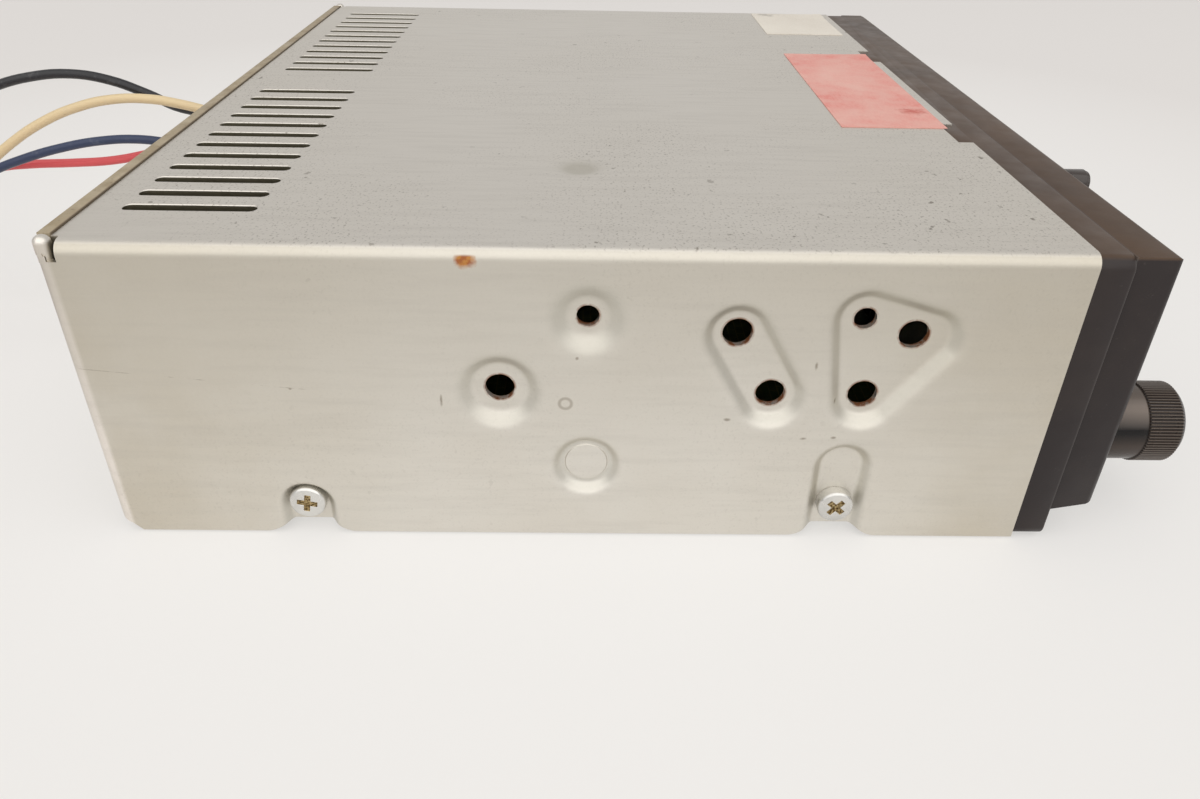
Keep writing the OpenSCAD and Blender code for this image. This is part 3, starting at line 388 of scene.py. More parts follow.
# Shader steps
class Finish:
    """A material with a plain way to add its nodes."""

    def __init__(self, name, colour, rough, metal=0.0):
        self.material = bpy.data.materials.new(name)
        self.material.use_nodes = True
        self.tree = self.material.node_tree
        self.shader = self.tree.nodes["Principled BSDF"]
        self.shader.inputs["Base Color"].default_value = (*colour, 1)
        self.shader.inputs["Roughness"].default_value = rough
        self.shader.inputs["Metallic"].default_value = metal
        self.place = self.tree.nodes.new("ShaderNodeTexCoord").outputs["Object"]

    def node(self, kind, **inputs):
        made = self.tree.nodes.new(kind)
        for key, value in inputs.items():
            self.feed(made.inputs[key.replace("_", " ")], value)
        return made

    def feed(self, socket, value):
        if isinstance(value, bpy.types.NodeSocket):
            self.tree.links.new(value, socket)
        else:
            socket.default_value = value

    def stretch(self, scale):
        return self.node("ShaderNodeMapping", Vector=self.place, Scale=scale).outputs["Vector"]

    def noise(self, scale, detail=4.0, rough=0.55, place=None):
        return self.node("ShaderNodeTexNoise", Vector=place or self.place, Scale=scale, Detail=detail,
                         Roughness=rough).outputs["Fac"]

    def cloud(self, noise, low, high, to_low=0.0, to_high=1.0):
        """Noise of a given scale, detail and roughness, stretched between two values."""
        return self.range(self.noise(*noise), low, high, to_low, to_high)

    def cells(self, scale):
        return self.node("ShaderNodeTexVoronoi", Vector=self.place, Scale=scale).outputs["Distance"]

    def range(self, value, low, high, to_low=0.0, to_high=1.0):
        made = self.node("ShaderNodeMapRange", Value=value)
        for key, number in (("From Min", low), ("From Max", high), ("To Min", to_low), ("To Max", to_high)):
            made.inputs[key].default_value = number
        return made.outputs["Result"]

    def math(self, operation, a, b=0.0):
        made = self.tree.nodes.new("ShaderNodeMath")
        made.operation = operation
        self.feed(made.inputs[0], a)
        self.feed(made.inputs[1], b)
        return made.outputs["Value"]

    def times(self, a, b):
        return self.math("MULTIPLY", a, b)

    def most(self, first, *others):
        for other in others:
            first = self.math("MAXIMUM", first, other)
        return first

    def apart(self, a, b):
        return self.math("ABSOLUTE", self.math("SUBTRACT", a, b))

    def mix(self, amount, a, b):
        made = self.tree.nodes.new("ShaderNodeMix")
        made.data_type = "RGBA"
        self.feed(made.inputs["Factor"], amount)
        for socket, value in ((made.inputs[6], a), (made.inputs[7], b)):
            self.feed(socket, (*value, 1) if isinstance(value, tuple) else value)
        return made.outputs[2]

    def axis(self, name):
        return self.node("ShaderNodeSeparateXYZ", Vector=self.place).outputs[name]

    def distance(self, point, scale=(1, 1, 1)):
        """Distance of the surface from a point, in stretched millimetres."""
        made = self.tree.nodes.new("ShaderNodeVectorMath")
        made.operation = "DISTANCE"
        self.feed(made.inputs[0], self.stretch([s / MM for s in scale]))
        made.inputs[1].default_value = [c * s for c, s in zip(point, scale)]
        return made.outputs["Value"]

    def colour(self, value):
        self.feed(self.shader.inputs["Base Color"], value)

    def rough(self, value):
        self.feed(self.shader.inputs["Roughness"], value)

    def bump(self, height, strength, distance):
        made = self.node("ShaderNodeBump", Height=height, Strength=strength, Distance=distance)
        self.feed(self.shader.inputs["Normal"], made.outputs["Normal"])


def metal_finish(name, colour, rough, grain=(900, 900, 900)):
    """Plain metal with fine grain, uneven gloss and slight stains."""
    f = Finish(name, colour, rough, 1.0)
    dark = tuple(c * 0.72 for c in colour)
    stain = f.cloud((120, 5), 0.42, 0.68)
    f.colour(f.mix(stain, colour, dark))
    fine = f.noise(1, 3, place=f.stretch(grain))
    f.rough(f.range(fine, 0.3, 0.7, rough - 0.08, rough + 0.12))
    f.bump(fine, 0.12, 0.05 * MM)
    return f.material


def plastic_finish(name, colour, rough, grain=2600, dust=0.12):
    """Moulded plastic with fine grain and a little dust."""
    f = Finish(name, colour, rough)
    pale = tuple(c + (0.5 - c) * dust for c in colour)
    specks = f.cloud((420, 6, 0.7), 0.56, 0.74)
    f.colour(f.mix(specks, colour, pale))
    f.rough(f.cloud((160, 3), 0.3, 0.7, rough - 0.07, rough + 0.09))
    f.bump(f.noise(grain, 2), 0.18, 0.04 * MM)
    return f.material


# Sheet-metal cover: flats, rounded recesses and bends, then a wall thickness and trimmed edges
flat_margin = 0.3 * MM
hole_lip = 0.35 * MM
into_side = Vector((1, 0, 0))
upwards = Vector((0, 0, 1))
shoulder_share, toe_share = 0.48, 0.34


def on_side(place):
    return Vector((-half_w, rear_y - place[0] * MM, place[1] * MM))


def recess_rings(radii, depth, apron=0.14):
    """Rings from the flat sheet over a faint apron, round a shoulder, down a flank and round to the floor."""
    floor_r, wall_r, outer_r = [r * MM for r in radii]
    shoulder, toe = (wall_r - floor_r) * shoulder_share, (wall_r - floor_r) * toe_share
    sag = apron * (outer_r - wall_r) / 2
    flank = wall_r - floor_r - shoulder - toe
    slope = (depth - sag - apron * shoulder / 2) / (flank + (shoulder + toe) / 2)
    rings = [(outer_r + flat_margin, 0.0)]
    for i in range(5):
        rings.append((outer_r - (outer_r - wall_r) * i / 4, sag * (i / 4) ** 2))
    for i in range(1, 6):
        s = shoulder * i / 5
        rings.append((wall_r - s, sag + apron * s + (slope - apron) * s * s / (2 * shoulder)))
    for i in range(6):
        s = toe * (1 - i / 5)
        rings.append((floor_r + s, depth - slope * s * s / (2 * toe)))
    return rings


def press(name, centre, rings, into=into_side, sides=72):
    obj = ring_object(name, rings[0][0], centre, into, sides)
    loft(rings, centre, into)
    return obj


def stretch_over(obj, centre, places):
    """Carries each part of the rings to the place that lies furthest its way."""
    mesh = bmesh.from_edit_mesh(obj.data)
    mesh.verts.index_update()
    groups = [set() for _ in places]
    for v in mesh.verts:
        reach = [(v.co - centre).dot(p - centre) for p in places]
        groups[reach.index(max(reach))].add(v.index)
    for group, place in zip(groups, places):
        pick_verts(obj, lambda v: v.index in group)
        bpy.ops.transform.translate(value=place - centre)


def open_floor(obj, holes):
    """Fills a recess's floor round its holes."""
    for place, radius in holes:
        centre = on_side(place) + into_side * press_depth
        bpy.ops.mesh.select_all(action="DESELECT")
        add_ring(radius + hole_lip, centre, into_side, 48)
        loft([(radius + hole_lip, 0), (radius, 0)], centre, into_side)
    floor_x = -half_w + press_depth
    hole_edges = [(on_side(place), radius) for place, radius in holes]

    def bounds_floor(e):
        if len(e.link_faces) > 1 or not all(near(v.co.x, floor_x) for v in e.verts):
            return False
        for centre, radius in hole_edges:
            flat = [math.hypot(v.co.y - centre.y, v.co.z - centre.z) for v in e.verts]
            if all(near(r, radius, hole_lip / 2) for r in flat):
                return False
        return True

    pick_edges(obj, bounds_floor)
    bpy.ops.mesh.fill(use_beauty=True)


def dimple(name, place, radii, hole_r):
    rings = recess_rings(radii, press_depth) + [(hole_r + hole_lip, press_depth), (hole_r, press_depth)]
    obj = press(name, on_side(place), rings)
    done()
    return obj


def blind_dimple(name, place, radii):
    """A recess whose round floor stands a little proud."""
    disc_r = radii[0] * MM - 0.25 * MM
    disc = [(disc_r, 0.02 * MM), (disc_r - 0.15 * MM, 0.18 * MM), (disc_r * 0.6, 0.2 * MM)]
    rings = recess_rings(radii, blind_depth) + [(r, blind_depth - rise) for r, rise in disc]
    obj = press(name, on_side(place), rings)
    bpy.ops.mesh.edge_face_add()
    done()
    return obj


def web_recess(name, corners, radii, *holes):
    """A recess that reaches over several corners, with holes in its floor."""
    places = [on_side(place) for place in corners]
    centre = sum(places, Vector()) / len(places)
    obj = press(name, centre, recess_rings(radii, press_depth), sides=96)
    stretch_over(obj, centre, places)
    open_floor(obj, holes)
    done()
    return obj


def screw_channel(name, screw, top, radii):
    """A recess that runs down through the lower edge, with a screw hole in its floor."""
    obj = web_recess(name, ((screw[0], top - radii[0]), (screw[0], channel_end)), radii, (screw, screw_hole_r))
    edit(obj, "SELECT")
    bpy.ops.mesh.bisect(plane_co=(0, 0, edge_z), plane_no=(0, 0, 1), clear_inner=True)
    done()
    return obj


def frame_edges(name, low, high, along):
    """The four edges of a flat."""
    clear()
    bpy.ops.mesh.primitive_plane_add(size=1, location=(low + high) / 2, rotation=facing(along))
    span = high - low
    bpy.context.object.scale = (span.x + span.z, span.y, 1)
    obj = settle(name)
    edit(obj, "SELECT")
    bpy.ops.mesh.delete(type="ONLY_FACE")
    done()
    return obj


def fill_side(obj):
    """Closes the lower edge between the channels and fills the flat between the recesses."""
    edit(obj, "SELECT")
    bpy.ops.mesh.remove_doubles(threshold=0.005 * MM)
    mesh = bmesh.from_edit_mesh(obj.data)
    ends = [v for v in mesh.verts if near(v.co.z, edge_z) and near(v.co.x, -half_w)
            and sum(len(e.link_faces) < 2 for e in v.link_edges) <= 2 and not all(
                len(e.link_faces) == 2 or near(e.other_vert(v).co.z, edge_z) for e in v.link_edges)]
    mesh.verts.index_update()
    row = [v.index for v in sorted(ends, key=lambda v: v.co.y)]
    for span in zip(row[::2], row[1::2]):
        pick_verts(obj, lambda v: v.index in span)
        bpy.ops.mesh.edge_face_add()

    def bounds_flat(e):
        if len(e.link_faces) > 1 or not all(near(v.co.x, -half_w) for v in e.verts):
            return False
        return len(e.link_faces) == 0 or not all(near(v.co.z, edge_z) for v in e.verts)

    pick_edges(obj, bounds_flat)
    bpy.ops.mesh.fill(use_beauty=True)
    done()


def roll_edge(obj, test, steps, arc):
    """Extrudes the picked edge along an arc, given as a function of the angle."""
    pick(obj, test)
    before = arc(0)
    for i in range(1, steps + 1):
        after = arc(math.pi / 2 * i / steps)
        push(after - before)
        before = after


def make_side():
    recesses = [
        dimple("upper_recess", upper_dimple, upper_radii, small_hole_r),
        dimple("middle_recess", middle_dimple, middle_radii, mount_hole_r),
        blind_dimple("lower_recess", lower_dimple, lower_radii),
        web_recess("pair_recess", (pair_upper, pair_lower), web_radii,
                   (pair_upper, mount_hole_r), (pair_lower, mount_hole_r)),
        web_recess("trio_recess", (trio_lower, trio_corner, trio_small), web_radii,
                   (trio_lower, mount_hole_r), (trio_upper, mount_hole_r), (trio_small, small_hole_r)),
        screw_channel("rear_channel", rear_case_screw, rear_channel_top, rear_channel_radii),
        screw_channel("front_channel", front_case_screw, front_channel_top, front_channel_radii)]
    bend_z = top_z - bend_r
    border = frame_edges(
        "side", Vector((-half_w, front_y, edge_z)), Vector((-half_w, sheet_rear, bend_z)), into_side)
    edit(border)
    pick_edges(border, lambda e: all(near(v.co.z, edge_z) for v in e.verts))
    bpy.ops.mesh.delete(type="EDGE")
    done()
    side = join([border] + recesses, "side")
    fill_side(side)
    edit(side)
    roll_edge(side, lambda co: near(co.z, bend_z), bend_steps, lambda a: Vector(
        (-half_w + bend_r * (1 - math.cos(a)), 0, bend_z + bend_r * math.sin(a))))
    roll_edge(side, lambda co: near(co.y, sheet_rear) and near(co.x, -half_w), roll_steps, lambda a: Vector(
        (-half_w + roll_r * (1 - math.cos(a)), panel_y + roll_r * math.sin(a), 0)))
    pick(side, lambda co: near(co.z, bend_z) and co.y > sheet_rear + 0.1 * MM)
    push((0, 0, crown_z - crown_h - bend_z))
    done()
    return mirrored(side)


# Vents and the dent in the top
vent_count = 12
vent_pitch = 6.0 * MM
vent_inner = 9.5 * MM
vent_len = 19.5 * MM
vent_w = 2.4 * MM
vent_set = 7.0 * MM
rim_bevel = 0.12 * MM
dent_place = (73.3, -54.6)
dent_depth = 0.6 * MM
dent_apron = 0.06


def make_top():
    flat_x = half_w - bend_r
    pieces = [frame_edges("top", Vector((-flat_x, front_y, top_z)), Vector((flat_x, sheet_rear, top_z)), upwards)]
    reach = (vent_len - vent_w) / 2
    for side in (-1, 1):
        for i in range(vent_count):
            centre = Vector((side * (vent_inner + i * vent_pitch), rear_y - vent_set - vent_len / 2, top_z))
            slot = ring_object("slot", vent_w / 2, centre, upwards, 20)
            for way in (-1, 1):
                pick(slot, lambda co: (co.y - centre.y) * way > 0.1 * MM)
                bpy.ops.transform.translate(value=(0, way * reach, 0))
            done()
            pieces.append(slot)
    dent_centre = Vector((dent_place[1] * MM, rear_y - dent_place[0] * MM, top_z))
    dent_rings = recess_rings(dent_radii, dent_depth, dent_apron)
    dent = press("dent", dent_centre, dent_rings, -upwards, 48)
    bpy.ops.mesh.edge_face_add()
    done()
    top = join(pieces + [dent], "top")
    edit(top)
    pick_edges(top, lambda e: len(e.link_faces) < 2)
    bpy.ops.mesh.fill(use_beauty=True)
    done()
    return top


# Cuts through the cover: notches below, corners and reliefs at the rear, latch openings at the front
notch_w = 14.4 * MM
notch_h = 1.4 * MM
notch_rise = 4.4 * MM
corner_cut = 1.4 * MM
rear_lift = 1.7 * MM
relief_w = 1.4 * MM
relief_in = 0.2 * MM
relief_h = 2.8 * MM
latch_w = 11.6 * MM
latch_d = 2.7 * MM
latch_x = 32 * MM
cut_depth = 12 * MM
cut_below = -3 * MM


def notch_outline():
    """Lower-edge notch with an S-shaped rise at each end."""
    steps = 10
    rise = [(i / steps, (1 - math.cos(math.pi * i / steps)) / 2) for i in range(steps + 1)]
    left = [(-notch_w / 2 + notch_rise * x, edge_z + notch_h * z) for x, z in rise]
    right = [(-y, z) for y, z in reversed(left)]
    return [(-notch_w / 2, cut_below)] + left + right + [(notch_w / 2, cut_below)]


def cover_cutters():
    left = []
    for screw in (rear_case_screw, front_case_screw):
        left.append(side_prism("notch", notch_outline(), (-half_w, rear_y - screw[0] * MM, 0)))
    corner = [(rear_y + MM, cut_below), (rear_y + MM, rear_lift + corner_cut), (panel_y, rear_lift),
              (panel_y - corner_cut, edge_z), (panel_y - corner_cut + cut_below, cut_below)]
    left.append(side_prism("corner", corner, (-half_w, 0, 0)))
    relief_y = panel_y + relief_in - relief_w
    left.append(box_piece("relief", (-half_w - MM, relief_y, top_z - relief_h),
                          (-half_w + bend_r + 0.5 * MM, relief_y + relief_w, lip_z + MM)))
    cutter = mirrored(join(left, "cutter"))
    latches = [box_piece("latch", (x - latch_w / 2, front_y - MM, top_z - 3 * MM),
                         (x + latch_w / 2, front_y + latch_d, top_z + MM)) for x in (-latch_x, latch_x)]
    return join([cutter] + latches, "cutter")


def soften_slots(obj):
    """Rounds the punched rims of the slots in the top."""
    inside = (rear_y - vent_set - vent_len - 0.2 * MM, rear_y - vent_set + 0.2 * MM)

    def is_rim(e):
        if len(e.link_faces) != 2 or not all(near(v.co.z, top_z) for v in e.verts):
            return False
        flat = sorted(abs(face.normal.z) for face in e.link_faces)
        return flat[0] < 0.1 and flat[1] > 0.9 and all(inside[0] < v.co.y < inside[1] for v in e.verts)

    edit(obj)
    pick_edges(obj, is_rim)
    bpy.ops.mesh.bevel(offset=rim_bevel, segments=1, affect="EDGES")
    done()


def mark_rims(obj):
    """Marks the walls of the holes, where the plating has rusted."""
    mounts = (middle_dimple, pair_upper, pair_lower, trio_upper, trio_lower)
    holes = [(on_side(place), mount_hole_r) for place in mounts]
    holes += [(on_side(place), small_hole_r) for place in (upper_dimple, trio_small)]
    marks = obj.data.attributes.new("rust", "FLOAT", "POINT")
    for v, mark in zip(obj.data.vertices, marks.data):
        for centre, radius in holes:
            away = math.hypot(v.co.y - centre.y, v.co.z - centre.z)
            if away < radius + hole_lip / 2 and abs(v.co.x) > half_w - 6 * MM:
                mark.value = 1.0


# Bead at each rear corner of the cover
bead_r = 1.16 * MM
post_r = 1.08 * MM
bead_in = 1.32 * MM
bead_back = 0.68 * MM
bead_over = 0.35 * MM


def lip_crown(way):
    """The bead that closes a corner of the lip, on a post beside the relief."""
    foot = Vector((way * (half_w - bead_in), panel_y + bead_back, top_z - relief_h - 0.4 * MM))
    rise = crown_z - foot.z
    rings = [(post_r, 0), (post_r, rise - 2.5 * MM), (bead_r, rise - 2.2 * MM)]
    for i in range(9):
        a = math.radians(10 * i)
        rings.append((bead_r * math.cos(a), rise + bead_over - MM * (1 - math.sin(a))))
    return turned("ear", rings, foot, upwards, 48)


def make_cover(finish):
    cover = join([make_side(), make_top()], "cover_sheet")
    edit(cover, "SELECT")
    bpy.ops.mesh.remove_doubles(threshold=0.02 * MM)
    face_outwards()
    done()
    up = max((p for p in cover.data.polygons if near(p.center.z, top_z)), key=lambda p: p.area)
    if up.normal.z < 0:
        edit(cover, "SELECT")
        bpy.ops.mesh.flip_normals()
        done()
    thicken(cover, sheet_t, -1, True)
    cut(cover, cover_cutters())
    soften_slots(cover)
    cover = join([cover, lip_crown(-1), lip_crown(1)], "cover_sheet")
    mark_rims(cover)
    smooth(cover, 32)
    place_piece(cover, finish, "case", "plated_steel", "cover")


# Leads: one smooth curve each, from the grommet along its route and round its coil
def coil_low(d):
    return tie_t + tie_gap + d / 2


def coil_rate(d):
    return d + coil_gap


def coil_outer(d):
    return coil_radius * d + coil_rate(d) * coil_loops / 4


def coil_point(d, t):
    half = coil_loops / 2
    r = coil_outer(d) - coil_rate(d) * (t if t < half else coil_loops - t)
    drop = min(max((t - half) * 2 + 0.5, 0), 1)
    z = coil_low(d) + coil_rate(d) * (1 - drop * drop * (3 - 2 * drop))
    return r * math.cos(2 * math.pi * t), r * math.sin(2 * math.pi * t), z


def coil_base(route, d):
    end = route[-1]
    return Vector((end[0], rear_y / MM + end[1] + d, end[2] - coil_low(d) - coil_rate(d)))


def lead_path(route, d, way):
    behind = rear_y / MM
    path = [Vector((route[0][0], behind - inside_start, route[0][2]))]
    path += [Vector((x, behind + y, z)) for x, y, z in route]
    turns = [coil_point(d, i / rings_per_loop) for i in range(coil_loops * rings_per_loop + 1)]
    turns += [(coil_outer(d), s * tail_len, coil_low(d)) for s in (0.35, 0.7, 1)]
    base = coil_base(route, d)
    path += [base + Vector((way * (x - coil_outer(d)), y, z)) for x, y, z in turns]
    return [p * MM for p in path]


def make_lead(name, route, d, way, finish):
    data = bpy.data.curves.new(name + "_wire", "CURVE")
    data.dimensions = "3D"
    data.bevel_depth = d / 2 * MM
    data.bevel_resolution = 4
    data.resolution_u = 5
    data.use_fill_caps = True
    path = lead_path(route, d, way)
    spline = data.splines.new("BEZIER")
    spline.bezier_points.add(len(path) - 1)
    for knot, place in zip(spline.bezier_points, path):
        knot.co = place
        knot.handle_left_type = "AUTO"
        knot.handle_right_type = "AUTO"
    lead = new_object(name + "_wire", data)
    return place_piece(lead, finish, "case", name + "_lead", name + "_lead", name + "_coil")


set_camera()

leads = {
    "black": (black_route, speaker_lead_d, -1, 0.363, (0.014, 0.014, 0.017)),
    "cream": (cream_route, speaker_lead_d, -1, 0.342, (0.72, 0.57, 0.34)),
    "blue": (blue_route, power_lead_d, 1, 0.3, (0.022, 0.035, 0.085)),
    "red": (red_route, power_lead_d, 1, 0.295, (0.72, 0.09, 0.1))}
tie_finish = plastic_finish("tie_plastic", (0.04, 0.04, 0.045), 0.5)
sleeve_finish = plastic_finish("connector_sleeve", (0.45, 0.06, 0.05), 0.35)
tip_finish = metal_finish("connector_tip", (0.75, 0.73, 0.68), 0.25)


def make_connector(colour, route, d):
    """A bullet connector: a flared insulating sleeve with a crimp, and a round-nosed tip with a groove."""
    base = coil_base(route, d)
    start = Vector((base.x, base.y + tail_len + 0.05, base.z + coil_low(d))) * MM
    rings = [(1.35, 0), (1.75, 0.3), (1.8, 1.0), (1.8, 2.6), (1.55, 3.0), (1.55, 4.2), (1.8, 4.6), (1.8, 9.7),
             (1.7, 10.0), (1.58, 10.05), (1.58, 12.2), (1.36, 12.4), (1.36, 12.9), (1.58, 13.1), (1.56, 14.6),
             (1.3, 15.4), (0.75, 16.0)]
    piece = turned(colour + "_bullet", [(r * MM, y * MM) for r, y in rings], start, Vector((0, 1, 0)), 40)
    smooth(piece, 40)
    place_piece(piece, sleeve_finish, "case", "connector_sleeve", colour + "_connector")
    piece.data.materials.append(tip_finish)
    for face in piece.data.polygons:
        face.material_index = int(face.center.y > start.y + sleeve_len * MM)
    return piece


def make_tie(colour, route, d, way):
    """A band round a coil, with a square lock."""
    base = coil_base(route, d)
    w = coil_rate(d) * coil_loops / 2 + d + 2 * tie_gap
    h = coil_rate(d) + d + 2 * tie_gap
    mid = base + Vector((-way * coil_outer(d), coil_outer(d) - coil_rate(d) * coil_loops / 4, tie_t + h / 2))
    half = Vector((1.5, w / 2 + tie_t, h / 2 + tie_t))
    band = box_piece("band", (mid - half) * MM, (mid + half) * MM)
    round_edges(band, 0.9 * MM, 4)
    room = Vector((5, w / 2, h / 2))
    inside = box_piece("room", (mid - room) * MM, (mid + room) * MM)
    round_edges(inside, 0.5 * MM, 3)
    cut(band, inside)
    top = mid + Vector((0, 0, half.z + 0.25))
    lock_half = Vector((1.9, 1.8, 0.65))
    lock = box_piece("lock", (top - lock_half) * MM, (top + lock_half) * MM)
    round_edges(lock, 0.3 * MM)
    tie = join([band, lock], colour + "_tie")
    smooth(tie, 40)
    return place_piece(tie, tie_finish, "case", "tie_plastic", "lead_ties")


for colour, (route, d, way, length, tone) in leads.items():
    lead = make_lead(colour, route, d, way, plastic_finish(colour + "_sheath", tone, 0.34, 1800, 0.1))
    connector = make_connector(colour, route, d)
    tie = make_tie(colour, route, d, way)


# Finish of the cover: zinc plate with fine specks, browner patches towards the ends and rust round the holes
rust_spot = (-88.9, 14.4, 48.3)
side_marks = [  # distance from the rear face, height, size across and up
    (108.2, 32.4, 0.25, 0.7), (112.1, 25.8, 0.2, 0.5), (96.0, 22.8, 0.5, 0.3), (108.0, 19.5, 0.5, 0.25),
    (112.6, 19.7, 0.45, 0.25), (53.3, 25.8, 0.2, 1.1), (73.4, 33.1, 0.25, 0.25), (31.3, 27.5, 0.25, 0.2)]
ring_mark = (71.7, 25.4)
ring_mark_r = 0.9
scratch_ends = ((1.5, 30.5), (33.7, 27.4))


def side_point(place):
    """A place on the left side, in millimetres."""
    return -half_w / MM, rear_y / MM - place[0], place[1]


def zinc_tone(f, y, z, top):
    """Plate that is browner towards the ends in patches, painted paler on the rolled lip as a highlight and darker
    along its rear edge, darkened higher up on the side as painted shade, and faintly streaked.
    """
    tone = f.mix(f.cloud((26, 4), 0.35, 0.7), (0.78, 0.755, 0.7), (0.735, 0.7, 0.635))
    from_middle = f.math("ABSOLUTE", f.math("ADD", y, 2 * MM))
    ends = f.times(f.range(from_middle, 22 * MM, 74 * MM), f.cloud((38, 5), 0.3, 0.62, 0.45, 1.0))
    tone = f.mix(ends, tone, (0.62, 0.57, 0.475))
    # Painted highlight: the rolled lip is painted paler, as if it caught the light.
    lip = f.times(f.range(y, panel_y - 0.5 * MM, panel_y + 0.1 * MM, 0.0, 0.9),
                  f.cloud((160, 4), 0.3, 0.6, 0.7, 1.0))
    tone = f.mix(lip, tone, (0.93, 0.87, 0.81))
    tone = f.mix(f.range(y, rear_y - 0.3 * MM, rear_y - 0.1 * MM, 0.0, 0.7), tone, (0.2, 0.16, 0.12))
    # Painted shade: the side grows darker higher up, away from the light thrown up by the floor; the top is left out.
    upper = f.times(f.range(z, 14 * MM, 46 * MM, 0.0, 0.5), f.math("SUBTRACT", 1.0, top))
    tone = f.mix(upper, tone, (0.52, 0.485, 0.41))
    tone = f.mix(f.times(top, 0.8), tone, (0.79, 0.755, 0.7))
    streaks = f.noise(1, 3, 0.6, f.stretch((700, 60, 700)))
    return f.mix(f.range(streaks, 0.45, 0.75, 0.0, 0.18), tone, (0.5, 0.47, 0.42))


def speck_share(f, top):
    """Dark specks, many on the top and few on the sides."""
    spread = f.cloud((22, 4), 0.36, 0.6)
    fine = f.cloud((2300, 2, 0.5), 0.58, 0.68)
    coarse = f.most(f.cloud((1050, 3, 0.6), 0.67, 0.74), f.cloud((430, 3, 0.5), 0.71, 0.75))
    return f.times(f.times(f.most(f.times(fine, 0.6), coarse), spread), f.range(top, 0, 1, 0.12, 0.75))


def flank_shade_share(f, z, out):
    """Painted shade on the slopes of the side's recesses, but not on the disc in the blind one."""
    flank = f.times(f.range(out, half_w - 0.12 * MM, half_w - 0.7 * MM),
                    f.range(out, half_w - 1.75 * MM, half_w - 1.45 * MM))
    flank = f.times(flank, f.range(f.distance(side_point(lower_dimple), (0, 1, 1)), 3.3, 3.6))
    flank = f.times(flank, f.range(z, top_z - 3 * MM, top_z - 2.5 * MM, 1.0, 0.0))
    return f.times(flank, 0.33)


def slot_shade_share(f, y, z, out):
    """Painted shade on the cut walls of the vents and under the top along their rows."""
    edge = f.times(f.range(out, half_w - bend_r, half_w - bend_r - MM),
                   f.range(z, top_z - 0.1 * MM, top_z - 0.2 * MM))
    vent_end = rear_y - vent_set - vent_len
    edge = f.times(edge, f.range(y, vent_end - MM, vent_end - 0.3 * MM))
    edge = f.times(edge, f.range(z, top_z - 3 * MM, top_z - 2.5 * MM))
    return f.times(edge, 0.8)


def mark_share(f, y, z):
    """Nicks, a ring and a broken scratch on the left side."""
    ragged = f.times(f.noise(1100, 3), 1.2)
    nicks = []
    for back, height, across, up in side_marks:
        away = f.distance(side_point((back, height)), (0.2, 1 / across, 1 / up))
        nicks.append(f.range(f.math("ADD", away, ragged), 1.0, 1.8, 1.0, 0.0))
    ring = f.range(f.apart(f.distance(side_point(ring_mark)), ring_mark_r), 0.1, 0.35, 0.4, 0.0)
    (back0, up0), (back1, up1) = scratch_ends
    fall = (up1 - up0) / (back0 - back1)
    start = (up0 - fall * (rear_y / MM - back0)) * MM
    scratch = f.range(f.apart(z, f.math("ADD", f.times(y, fall), start)), 0.02 * MM, 0.09 * MM, 0.5, 0.0)
    scratch = f.times(scratch, f.cloud((330, 3, 0.7), 0.46, 0.62))
    scratch = f.times(scratch, f.range(y, rear_y - back1 * MM, rear_y - (back1 - 1) * MM))
    marks = f.most(f.times(f.most(*nicks), 0.6), ring, scratch)
    return f.times(marks, f.range(f.axis("X"), -86 * MM, -88 * MM))


def plated_steel():
    f = Finish("plated_steel", (0.68, 0.65, 0.58), 0.45, 1.0)
    y, z = f.axis("Y"), f.axis("Z")
    out = f.math("ABSOLUTE", f.axis("X"))
    top = f.range(z, 49.5 * MM, 49.9 * MM)
    tone = f.mix(speck_share(f, top), zinc_tone(f, y, z, top), (0.2, 0.17, 0.13))
    # Painted shade darkens the slopes of the side's recesses.
    tone = f.mix(flank_shade_share(f, z, out), tone, (0.5, 0.49, 0.435))
    # Painted shade inside the vents.
    tone = f.mix(slot_shade_share(f, y, z, out), tone, (0.17, 0.145, 0.075))
    tone = f.mix(mark_share(f, y, z), tone, (0.2, 0.15, 0.1))
    rim = f.node("ShaderNodeAttribute")
    rim.attribute_name = "rust"
    rims = f.times(rim.outputs["Fac"], f.cloud((700, 3), 0.3, 0.55))
    tone = f.mix(rims, tone, (0.19, 0.07, 0.024))
    spot = f.range(f.math("ADD", f.distance(rust_spot, (1, 0.78, 1)), f.noise(900, 3)), 1.2, 1.9, 1.0, 0.0)
    spot = f.times(spot, f.range(z, 48.75 * MM, 49.05 * MM, 1.0, 0.0))
    rust_tone = f.mix(f.cloud((1100, 2), 0.4, 0.6), (0.46, 0.2, 0.045), (0.34, 0.11, 0.03))
    f.colour(f.mix(spot, tone, rust_tone))
    rust = f.most(spot, rims)
    f.feed(f.shader.inputs["Metallic"], f.range(rust, 0, 1, 1.0, 0.1))
    grain = f.noise(2600, 4, 0.6)
    f.rough(f.math("ADD", f.range(grain, 0.3, 0.7, 0.41, 0.5), f.times(rust, 0.35)))
    f.bump(grain, 0.12, 0.03 * MM)
    return f.material


make_cover(plated_steel())


